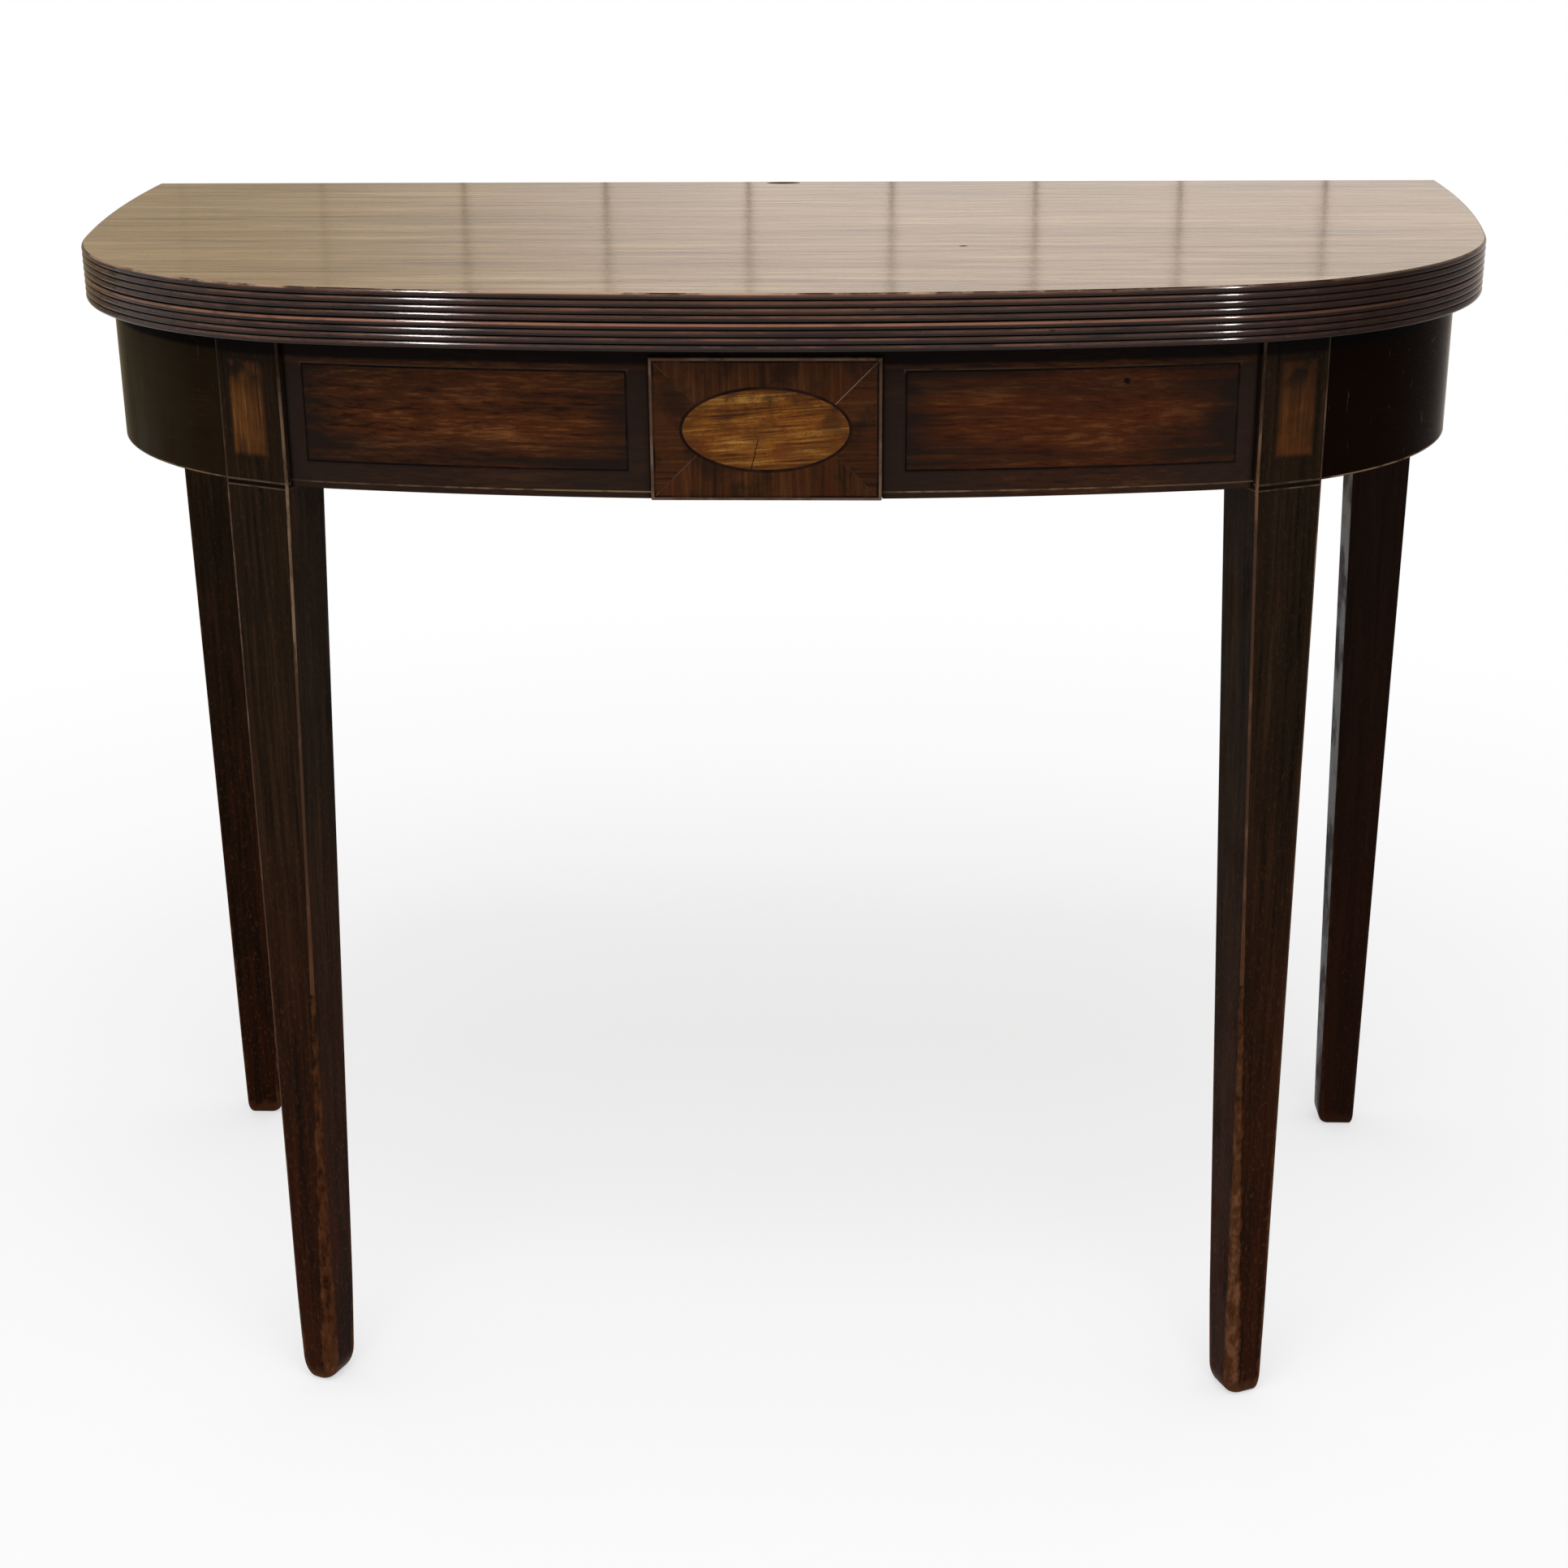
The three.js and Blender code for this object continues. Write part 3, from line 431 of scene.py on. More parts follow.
def inlaid_line():
    """A crisp band where a distance lies within a line's width, broken here and there by age."""
    group, given, result = effect(
        "inlaid line",
        [("Distance", "value", 0.0), ("Place", "value", 0.0), ("Width", "value", 0.001),
         ("Vector", "vector", None), ("Lost", "value", 0.2)],
        [("Line", "value")])
    away = size_of(group, less(group, given["Distance"], given["Place"]))
    half = times(group, given["Width"], 0.5)
    inside = eased(group, away, half, plus(group, half, LINE_BLUR), 1.0, 0.0, "LINEAR")
    patches = eased(group, cloudy(group, given["Vector"], 60.0, 4.0, 0.6), 0.42, 0.62)
    kept = less(group, 1.0, times(group, patches, given["Lost"]))
    group.links.new(times(group, inside, kept), result["Line"])
    return group


FRAME_DISTANCE = frame_distance()
INLAID_LINE = inlaid_line()


def polished(tree, shader, colour, dirt, height, low=0.14, high=0.42, depth=0.00012):
    """French polish worn unevenly: glossier where it is clean, duller in the dirt and pores."""
    surface(tree, shader, colour, eased(tree, dirt, 0, 1, low, high), height, 0.35, depth)


def face_place(tree):
    """Where a point lies on the unrolled face of its piece, from the piece's UV."""
    return put(tree, "ShaderNodeUVMap", uv_map="face").outputs[0]


def line_on(tree, vector, distance, at, width, lost):
    """The share of a line of another wood, let in where a distance meets the line's place."""
    return grouped(tree, INLAID_LINE, {"Distance": distance, "Place": at, "Width": width,
                                       "Vector": vector, "Lost": lost})["Line"]


def shade_below_top(tree, height):
    """The share of painted shade, near black, in a band close under the overhanging top."""
    start = FRIEZE_TOP - DARK_BELOW_TOP
    return eased(tree, height, start, start + 0.003, 0.0, 0.93)


def front_veneer():
    """The field painted lighter in its middle as if lit, its border painted a dull grey for the sheen of its polish,
    framed by a black line and a brown one, with painted shade under the top and beside the leg and the tablet.
    """
    material, tree, shader = new_finish("front frieze veneer", Specular_IOR_Level=0.018)
    face, place = face_place(tree), object_place(tree)
    side, travel, rise = axis(tree, place, 0), axis(tree, face, 0), axis(tree, face, 1)
    apart, reach = size_of(tree, travel), size_of(tree, side)
    wood = wood_on(tree, place, VENEER, 2.6, 0.40, 0.7)
    dirt = dirt_on(tree, face, 7.0, 0.38, 0.66)
    away = grouped(tree, FRAME_DISTANCE, {
        "Vector": face, "Half width": (FIELD_OUTER - FIELD_INNER) / 2,
        "Half height": (FIELD_HIGH - FIELD_LOW) / 2, "Middle height": (FIELD_LOW + FIELD_HIGH) / 2})["Distance"]
    # painted light: the field lighter in its middle and darker towards its ends and frame, over a random figure
    light_and_figure = plus(
        tree, eased(tree, cloudy(tree, place, 1.0, 4.0, 0.58, (5, 1, 190)), 0.36, 0.62, 0.0, 0.46),
        eased(tree, cloudy(tree, place, 1.0, 2.0, 0.5, (11, 1, 26)), 0.36, 0.62, 0.0, 0.30),
        eased(tree, apart, 0.030, 0.096, 0.14, -0.26), eased(tree, away, -0.028, -0.001, 0.48, -0.16))
    field = layered(
        tree, wood["Color"], (eased(tree, side, -0.15, 0.25, 0.05, 0.36), VENEER_RED),
        (less(tree, 0.92, times(tree, light_and_figure, 0.97)), FIELD_SHADE))
    shown = plus(
        tree, times(tree, eased(tree, apart, 0.020, 0.085, 0.36, 0.04), eased(tree, side, -0.2, 0.2, 0.45, 1.0)),
        eased(tree, rise, FIELD_HIGH, FIELD_HIGH + 0.001, 0.0, 0.30), times(tree, dirt, 0.10))
    # painted sheen: the border tinted grey as the reflection in its polish
    border = tinted(tree, shown, BORDER_SHEEN_GREY, wood["Color"])
    from_knot = put(tree, "ShaderNodeVectorMath", {0: place, 1: KNOT}, operation="DISTANCE").outputs["Value"]
    ragged = sums(tree, "MULTIPLY_ADD", cloudy(tree, place, 420.0), 0.0018, from_knot)
    # painted shade: darker where the frieze meets the proud leg and the tablet
    shade_by_leg_and_tablet = sums(tree, "MAXIMUM", eased(tree, reach, LEG_FACE - 0.0050, LEG_FACE - 0.0022, 0.0, 0.90),
                eased(tree, reach, TABLET_HALF_WIDTH + 0.0007, TABLET_HALF_WIDTH + 0.0020, 0.75, 0.0))
    brown_line = tinted(tree, eased(tree, rise, FIELD_HIGH - 0.002, FIELD_HIGH), BROWN_STRING, TAN_STRING)
    low_line = tinted(tree, eased(tree, reach, 0.10, 0.27, 0.0, 0.62), BOXWOOD, BROWN_STRING)
    colour = layered(
        tree, tinted(tree, sums(tree, "GREATER_THAN", away, BLACK_LINE / 2), field, border),
        (eased(tree, ragged, 0.0022, 0.0032, 0.92, 0.0), EBONY),
        (line_on(tree, face, away, 0.0, BLACK_LINE, 0.35), EBONY),
        (line_on(tree, face, away, (BLACK_LINE + BROWN_LINE) / 2, BROWN_LINE, 0.8), brown_line),
        # painted shade: a near-black band under the overhanging top
        (shade_below_top(tree, rise), EBONY),
        # painted shade beside the leg and the tablet
        (shade_by_leg_and_tablet, EBONY),
        (line_on(tree, face, rise, FRIEZE_BOTTOM + LOW_LINE_RISE, LOW_LINE, 0.75), low_line))
    polished(tree, shader, colour, dirt, wood["Height"], 0.16, 0.36)
    return material


def end_veneer():
    """Plain veneer gone nearly black, its polish bloomed olive, with painted light and sheen making the left end
    lighter and painted shade keeping the right end near black.
    """
    material, tree, shader = new_finish("end frieze veneer", Specular_IOR_Level=0.002)
    face = face_place(tree)
    side, rise = axis(tree, object_place(tree), 0), axis(tree, face, 1)
    wood = wood_on(tree, face, VENEER, 2.6, 0.40, 0.7)
    dirt = dirt_on(tree, face, 7.0, 0.38, 0.66)
    # painted light: the left end's dark share is lessened, so it is painted lighter than the right
    shade = less(tree, eased(tree, dirt, 0, 1, 0.90, 1.00), eased(tree, side, -0.2, 0.2, 0.12, 0.0))
    # painted light and sheen: olive bands, lighter towards the left end
    bloom_and_light = times(tree, eased(tree, cloudy(tree, face, 1.0, 3.0, 0.5, (34, 5, 1)), 0.34, 0.62, 0.48, 0.88),
                  eased(tree, side, -0.3, -0.1, 1.0, 0.0))
    scratch = put(
        tree, "ShaderNodeTexVoronoi",
        {"Vector": moved(tree, face, Rotation=(0, 0, 0.22), Scale=(62, 17, 1)), "Scale": 1.0},
        voronoi_dimensions="2D", feature="DISTANCE_TO_EDGE").outputs["Distance"]
    kept = eased(tree, cloudy(tree, face, 55.0, 3.0, 0.6), 0.56, 0.66, 0.0, 0.65)
    colour = layered(
        tree, wood["Color"], (shade, FRIEZE_SHADE),
        (bloom_and_light, tinted(tree, eased(tree, side, -0.445, -0.330), OLIVE_BLOOM_LIT, OLIVE_DARK)),
        # painted shade: the right end painted near black
        (eased(tree, side, 0.10, 0.38, 0.0, 0.96), END_SHADED_BLACK),
        (times(tree, eased(tree, scratch, 0.004, 0.014, 1.0, 0.0), kept), SCRATCH),
        # painted shade: a near-black band under the overhanging top
        (shade_below_top(tree, rise), EBONY),
        (line_on(tree, face, rise, FRIEZE_BOTTOM + END_LINE_RISE, LOW_LINE, 0.75), BOXWOOD))
    polished(tree, shader, colour, dirt, wood["Height"], 0.09, 0.22)
    return material


inner_end = TABLET_HALF_WIDTH + TABLET_GAP
outer_end = travel_at(FRIEZE_OVERHANG, LEG_FACE - LEG_GAP)
end_start = travel_at(FRIEZE_OVERHANG, LEG_PLACE.x + LEG_HALF_WIDTH * math.cos(LEG_TURN) - LEG_GAP)
end_stop = half_length(FRIEZE_OVERHANG) - REAR_GAP
field_middle = (FIELD_INNER + FIELD_OUTER) / 2
front_veneer_finish = front_veneer()
for part, start, stop, steps, centre, finish in (
        ("front", inner_end, outer_end, 48, field_middle, front_veneer_finish),
        ("end", end_start, end_stop, 72, end_stop, end_veneer())):
    for hand, side in (("right", 1), ("left", -1)):
        veneer_band(f"{part}_veneer_{hand}", side * start, side * stop, steps, side * centre, finish)

# Centre tablet: a block of mahogany let into the middle of the frieze and standing proud of it.
# Its face is crossbanded in mitred pieces with fine lines, about an oval of figured satinwood
# ringed with black, which has darkened and split. A strip of the frieze's veneer runs above it.

TABLET_FACE, TABLET_BACK = -0.2235, -0.2160
TABLET_TOP = FRIEZE_TOP - 0.0050
TABLET_MIDDLE = (FRIEZE_BOTTOM + TABLET_TOP) / 2
TABLET_HALF_HEIGHT = (TABLET_TOP - FRIEZE_BOTTOM) / 2
TABLET_ARRIS = 0.0006
OVAL_HALF_WIDTH, OVAL_HALF_HEIGHT = 0.0488, 0.0246
OVAL_RING, OVAL_ARRIS = 0.0017, 0.0004
RING_PROUD, OVAL_PROUD, OVAL_CROWN = 0.00004, 0.00006, 0.00012
RING_DEPTH, OVAL_DEPTH = 0.0010, 0.0008
OVAL_STEPS = 160
TABLET_LINE, TABLET_LINE_PLACE = 0.0016, 0.0007
SHADOW_LINE, SHADOW_LINE_PLACE = 0.0008, 0.0024
MITRE_LINE = 0.0004
LEG_HEAD_BLACK = (0.0080, 0.0046, 0.0024, 1)
SATIN_DARK = (0.036, 0.0105, 0.0018, 1)
SATINWOOD = SATIN_DARK, (0.155, 0.052, 0.0070, 1), (0.345, 0.168, 0.034, 1)
SATIN_RED = (0.085, 0.018, 0.0035, 1)
WORN_LINE_AND_HIGHLIGHT = (0.165, 0.115, 0.085, 1)
RIM_LINE = (0.120, 0.074, 0.048, 1)
BANDING = (0.0150, 0.0058, 0.0022, 1), (0.0400, 0.0125, 0.0034, 1), (0.0690, 0.0240, 0.0064, 1)
BAND_RED = (0.0450, 0.0085, 0.0022, 1)
OVAL_BLACK, OVAL_BROWN = (0.0062, 0.0022, 0.0010, 1), (0.017, 0.0060, 0.0020, 1)
CRACK_TOP, CRACK_FOOT = (-0.0043, 0.6561), (-0.0077, 0.6411)


def box_shell(shell, low, high):
    """Adds a box to a shell, from its low corner to its high one."""
    size, middle = Vector(high) - Vector(low), (Vector(high) + Vector(low)) / 2
    bmesh.ops.create_cube(shell, size=1, matrix=Matrix.Translation(middle) @ Matrix.Diagonal((*size, 1)))


def softened_box(low, high, arris):
    """Points and faces of a box with every edge cut back by an arris."""
    shell = bmesh.new()
    box_shell(shell, low, high)
    bmesh.ops.bevel(shell, geom=shell.edges[:] + shell.verts[:], offset=arris, segments=3, profile=0.5, affect="EDGES")
    shell.verts.index_update()
    points = [v.co.copy() for v in shell.verts]
    faces = [tuple(v.index for v in f.verts) for f in shell.faces]
    shell.free()
    return points, faces


def tablet_finish():
    """Crossbanding mitred at the corners: its grain runs along X beside the oval and upright above it."""
    material, tree, shader = new_finish("tablet crossbanding", Specular_IOR_Level=0.035)
    place = object_place(tree)
    x, z = axis(tree, place, 0), axis(tree, place, 2)
    to_side = less(tree, TABLET_HALF_WIDTH, size_of(tree, x))
    to_rail = less(tree, TABLET_HALF_HEIGHT, size_of(tree, less(tree, z, TABLET_MIDDLE)))
    split, edge = less(tree, to_side, to_rail), sums(tree, "MINIMUM", to_side, to_rail)
    beside = wood_on(tree, place, BANDING, 2.4, 0.35, 0.7)
    above = wood_on(tree, object_place(tree, ALONG_Z), BANDING, 2.4, 0.35, 0.7)
    blotch = cloudy(tree, place, 34.0, 4.0, 0.6)
    right, high = eased(tree, x, -0.001, 0.001), eased(tree, z, TABLET_MIDDLE - 0.001, TABLET_MIDDLE + 0.001)
    mitre_kept = times(tree, eased(tree, size_of(tree, less(tree, right, high)), 0.0, 1.0, 1.0, 0.22),
                       eased(tree, high, 0.0, 1.0, 0.38, 1.0))
    rim_lost = times(tree, eased(tree, x, TABLET_HALF_WIDTH - 0.005, TABLET_HALF_WIDTH - 0.003),
                     eased(tree, z, TABLET_MIDDLE - 0.008, TABLET_MIDDLE - 0.004, 0.0, 0.58))
    rim = line_on(tree, place, edge, TABLET_LINE_PLACE, TABLET_LINE, 0.60)
    colour = layered(
        tree, tinted(tree, sums(tree, "GREATER_THAN", split, 0.0), beside["Color"], above["Color"]),
        (eased(tree, blotch, 0.50, 0.68, 0.0, 0.55), BAND_RED),
        (eased(tree, blotch, 0.36, 0.50, 0.60, 0.0), LEG_HEAD_BLACK),
        (times(tree, line_on(tree, place, split, 0.0, MITRE_LINE, 0.80), mitre_kept), WORN_LINE_AND_HIGHLIGHT),
        (times(tree, rim, less(tree, 1.0, rim_lost)), RIM_LINE),
        (line_on(tree, place, edge, SHADOW_LINE_PLACE, SHADOW_LINE, 0.6), EBONY))
    polished(tree, shader, colour, dirt_on(tree, place, 30.0, 0.4, 0.7), above["Height"], 0.20, 0.40)
    return material


def oval_plate(name, rings, material):
    """A closed plate lofted through ovals, each a cut back from the full size and a place in depth."""
    points = []
    for cut_back, y in rings:
        wide, high = OVAL_HALF_WIDTH - cut_back, OVAL_HALF_HEIGHT - cut_back
        for i in range(OVAL_STEPS):
            turn = 2 * math.pi * i / OVAL_STEPS
            points.append((wide * math.cos(turn), y, TABLET_MIDDLE + high * math.sin(turn)))
    return make_piece(name, points, skin(len(rings), OVAL_STEPS) + caps(len(rings), OVAL_STEPS), [material])


def satinwood_finish():
    """Figured satinwood, smoked in its upper half, with a painted highlight in a pale line by its edge, and split near
    the middle.
    """
    material, tree, shader = new_finish("satinwood oval", Specular_IOR_Level=0.05)
    place = object_place(tree)
    x, z = axis(tree, place, 0), axis(tree, place, 2)
    wood = wood_on(tree, moved(tree, place, Rotation=(0, math.radians(3), 0)), SATINWOOD, 3.6, 0.30, 0.75)
    across = times(tree, x, 1 / OVAL_HALF_WIDTH)
    up = times(tree, less(tree, z, TABLET_MIDDLE), 1 / OVAL_HALF_HEIGHT)
    ring = sums(tree, "SQRT", plus(tree, times(tree, across, across), times(tree, up, up)))
    smoke = dirt_on(tree, place, 55.0, 0.44, 0.66)
    run = (CRACK_TOP[0] - CRACK_FOOT[0]) / (CRACK_TOP[1] - CRACK_FOOT[1])
    line_x = sums(tree, "MULTIPLY_ADD", less(tree, z, CRACK_FOOT[1]), run, CRACK_FOOT[0])
    wobble = sums(tree, "MULTIPLY_ADD", cloudy(tree, place, 160.0, 2.0), 0.0022, -0.0011)
    from_crack = size_of(tree, less(tree, x, plus(tree, line_x, wobble)))
    crack = times(tree, eased(tree, from_crack, 0.00008, 0.00042, 1.0, 0.0),
                  eased(tree, z, CRACK_TOP[1] - 0.002, CRACK_TOP[1] + 0.001, 1.0, 0.0))
    colour = layered(
        tree, wood["Color"],
        (eased(tree, cloudy(tree, place, 62.0, 4.0, 0.65), 0.48, 0.66, 0.0, 0.60), SATIN_RED),
        (times(tree, smoke, eased(tree, up, -0.35, 0.45, 0.30, 0.92)), SATIN_DARK),
        (eased(tree, cloudy(tree, place, 520.0, 3.0, 0.6, (1, 1, 1.6)), 0.58, 0.68, 0.0, 0.55), SATIN_DARK),
        (eased(tree, ring, 0.60, 1.0, 0.0, 0.45), SATIN_DARK),
        # painted highlight: a pale line just inside the oval's edge
        (eased(tree, ring, 0.955, 0.985, 0.0, 0.30), WORN_LINE_AND_HIGHLIGHT),
        (crack, EBONY))
    polished(tree, shader, colour, smoke, less(tree, wood["Height"], times(tree, crack, 3.0)), 0.22, 0.45)
    return material


def oval_line_finish():
    """The thin black line round the oval, its colour taken down unevenly by old polish and dirt."""
    material, tree, shader = new_finish("black oval line", Specular_IOR_Level=0.03)
    blots = cloudy(tree, object_place(tree), 95.0, 4.0, 0.65, (1, 1, 0.35))
    surface(tree, shader, tinted(tree, eased(tree, blots, 0.38, 0.62), OVAL_BLACK, OVAL_BROWN),
            eased(tree, blots, 0.3, 0.7, 0.4, 0.6), blots, 0.3, 0.0002)
    return material


tablet_points, tablet_faces = softened_box((-TABLET_HALF_WIDTH, TABLET_FACE, FRIEZE_BOTTOM),
                                           (TABLET_HALF_WIDTH, TABLET_BACK, TABLET_TOP), TABLET_ARRIS)
tablet = make_piece("tablet_block", tablet_points, tablet_faces, [tablet_finish()])
settle(tablet, "table_frame", "frieze_mahogany", "centre_tablet")
veneer_band("front_veneer_middle", -inner_end, inner_end, 32, 0.0, front_veneer_finish, TABLET_TOP)

border = oval_plate("oval_border", [(0.0, TABLET_FACE + RING_DEPTH), (0.0, TABLET_FACE - RING_PROUD)],
                    oval_line_finish())
settle(border, "table_frame", "frieze_mahogany")
oval = oval_plate("satinwood_oval", [
    (OVAL_RING, TABLET_FACE + OVAL_DEPTH), (OVAL_RING, TABLET_FACE - OVAL_PROUD),
    (OVAL_RING + OVAL_ARRIS, TABLET_FACE - OVAL_CROWN)], satinwood_finish())
settle(oval, "table_frame", "satinwood", "tablet_oval")

# Front legs: solid mahogany posts whose square heads run up through the frieze, turned to face
# out of the curve. Below it they taper on the inner and back sides. Boxwood strings are let into
# the two front corners, and knocks have worn the corners and rounded the feet.

FRONT_HEAD = (-0.022, 0.022, 0.0, 0.036)
FRONT_FOOT = (-0.0015, 0.022, 0.0, 0.027)
FRONT_FEET = {"right": ((0.0055, 0.0022, 0.0040, 0.0045), (0.0064, 0.0016, 0.0022, 0.0035), 0.014),
              "left": ((0.0085, 0.0055, 0.0045, 0.0045), (0.0072, 0.0036, 0.0030, 0.0035), 0.017)}
LEG_ARRIS = 0.0009
CORNER_STEPS = 4
EDGE_REACH = ((0.0022, 0.45), (0.0065, 0.0))
CORNER_TO_CORNER = CORNER_STEPS + 2 + 2 * len(EDGE_REACH)
WEAR_SPREAD = 0.7
FOOT_RISE_SHARES = (0.0, 0.06, 0.15, 0.28, 0.45, 0.65, 0.85, 1.0)
LEG_RINGS, HEAD_RINGS = 44, 6
FOOT_WEAR, INNER_WEAR = 0.075, 0.380
INNER_END, OUTER_END = 0.290, 0.030
STRING_FRONT, STRING_SIDE, STRING_PROUD, STRING_DEPTH, STRING_CORE = 0.00045, 0.00030, 0.00010, 0.0006, 0.004
PANEL_HALF_WIDTH, PANEL_LOW, PANEL_HIGH = 0.0132, 0.6365, 0.6945
PANEL_SHIFT, PANEL_PROUD, PANEL_DEPTH = 0.0015, 0.00008, 0.0009
LEG_DARK = (0.0046, 0.0029, 0.0015, 1)
LEG_WOOD = LEG_DARK, (0.0118, 0.0072, 0.0036, 1), (0.0255, 0.0140, 0.0066, 1)
LEG_LOW = (0.0290, 0.0062, 0.0016, 1)
LEG_SPECK = (0.075, 0.026, 0.011, 1)
LEG_RUBBED = (0.074, 0.026, 0.009, 1)
LEG_SHADED = (0.0085, 0.0036, 0.0026, 1)
COLLAR_STRING = (0.072, 0.047, 0.028, 1)
RUBBED = (0.165, 0.072, 0.034, 1)
COLLAR_LINES = ((0.0017, 0.0008, COLLAR_STRING, 0.7), (-0.0002, 0.0015, EBONY, 0.2),
                (-0.0018, 0.0007, COLLAR_STRING, 0.8))
PALE_BOXWOOD = (0.155, 0.099, 0.057, 1)
DIRTY_BOXWOOD = (0.050, 0.024, 0.013, 1)
PANEL_WOOD = (0.022, 0.0078, 0.0022, 1), (0.080, 0.029, 0.0062, 1), (0.165, 0.066, 0.0140, 1)
PANEL_RED = (0.046, 0.0130, 0.0028, 1)


def section_ring(box, insets, rounding, spread):
    """Points round a leg at one height: per corner an arc, then points away from it along the side."""
    x0, x1, y0, y1 = box
    left, right, front, back = insets
    x0, x1, y0, y1 = x0 + left, x1 - right, y0 + front, y1 - back
    corners = [(x0, y0, math.pi), (x1, y0, 1.5 * math.pi), (x1, y1, 0.0), (x0, y1, 0.5 * math.pi)]
    inward = [(1, 1), (-1, 1), (-1, -1), (1, -1)]
    room = 0.42 * min(x1 - x0, y1 - y0)
    points, edge = [], []
    for k, (cx, cy, start) in enumerate(corners):
        r = min(rounding[k], room)
        mx, my = cx + inward[k][0] * r, cy + inward[k][1] * r
        for i in range(CORNER_STEPS + 1):
            angle = start + (math.pi / 2) * i / CORNER_STEPS
            points.append((mx + r * math.cos(angle), my + r * math.sin(angle)))
            edge.append(1.0)
        nx, ny, _ = corners[(k + 1) % 4]
        r_next = min(rounding[(k + 1) % 4], room)
        run = Vector((nx - cx, ny - cy))
        length, way = run.length, run.normalized()
        near, far = r, length - r_next
        span = far - near
        for reach, value in (*EDGE_REACH, (None, 0.0)):
            share = 0.5 if reach is None else min(reach * spread[k] / span, 0.4 + 0.04 * value)
            points.append(tuple(Vector((cx, cy)) + way * (near + span * share)))
            edge.append(value)
        for reach, value in reversed(EDGE_REACH):
            share = min(reach * spread[(k + 1) % 4] / span, 0.4 + 0.04 * value)
            points.append(tuple(Vector((cx, cy)) + way * (far - span * share)))
            edge.append(value)
    return points, edge


def leg_rings(head, foot, top, rise, insets, foot_arris, inner_wear=FOOT_WEAR):
    """Rings from the floor to the head: a rounded, worn foot, a straight taper and a square head."""
    levels = [(rise * s, (1 - math.sqrt(1 - (1 - s) ** 2))) for s in FOOT_RISE_SHARES]
    levels += [(rise + (FRIEZE_BOTTOM - rise) * (i / LEG_RINGS), 0.0) for i in range(1, LEG_RINGS + 1)]
    levels += [(FRIEZE_BOTTOM + (top - FRIEZE_BOTTOM) * i / HEAD_RINGS, 0.0) for i in range(1, HEAD_RINGS + 1)]
    rings = []
    for z, cut_back in levels:
        share = min(z / FRIEZE_BOTTOM, 1.0)
        box = [f + (h - f) * share for f, h in zip(foot, head)]
        fades = [max(0.0, 1 - z / reach) for reach in (inner_wear, FOOT_WEAR, FOOT_WEAR, FOOT_WEAR)]
        rounding = [LEG_ARRIS + (a - LEG_ARRIS) * fade ** 1.5 for a, fade in zip(foot_arris, fades)]
        points, edge = section_ring(box, [i * cut_back for i in insets], rounding, [1 + WEAR_SPREAD * f for f in fades])
        rings.append((z, points, edge))
    return rings


def leg_point(x, y, place, turn, mirror):
    """Where a point of a leg's section stands, turned about the leg's upright axis and mirrored."""
    px = place.x + x * math.cos(turn) - y * math.sin(turn)
    return mirror * px, place.y + x * math.sin(turn) + y * math.cos(turn)


def leg_mesh(name, rings, place, turn, mirror, material):
    """Lofts leg rings into a closed skin at a place."""
    points = [(*leg_point(x, y, place, turn, mirror), z) for z, ring, _ in rings for x, y in ring]
    edge = [value for _, _, worn in rings for value in worn]
    count = len(rings[0][1])
    faces = skin(len(rings), count) + caps(len(rings), count)
    return make_piece(name, points, faces, [material], values={"edge": edge}, sharp=50)


def handling_wear():
    """Where knocks and hands have rubbed the polish from an arris, patchy along its length."""
    group, given, result = effect(
        "handling wear",
        [("Edge", "value", 0.0), ("Vector", "vector", None), ("Amount", "value", 0.8), ("Scale", "value", 90.0)],
        [("Rubbed", "value"), ("Bare", "value")])
    fine = cloudy(group, given["Vector"], given["Scale"], 5.0, 0.65, (1, 1, 0.4))
    wide = cloudy(group, given["Vector"], 9.0, 3.0, 0.55, (1, 1, 0.6))
    patchy = plus(group, sums(group, "MULTIPLY_ADD", fine, 0.95, -0.20), times(group, wide, 0.45))
    total = plus(group, times(group, given["Edge"], given["Amount"]), patchy)
    group.links.new(eased(group, total, 1.00, 1.22), result["Rubbed"])
    group.links.new(eased(group, total, 1.22, 1.38), result["Bare"])
    return group


WEAR = handling_wear()


def painted(tree, name):
    """The value that a mesh carries in its points under a name."""
    return put(tree, "ShaderNodeAttribute", attribute_name=name, attribute_type="GEOMETRY").outputs["Fac"]


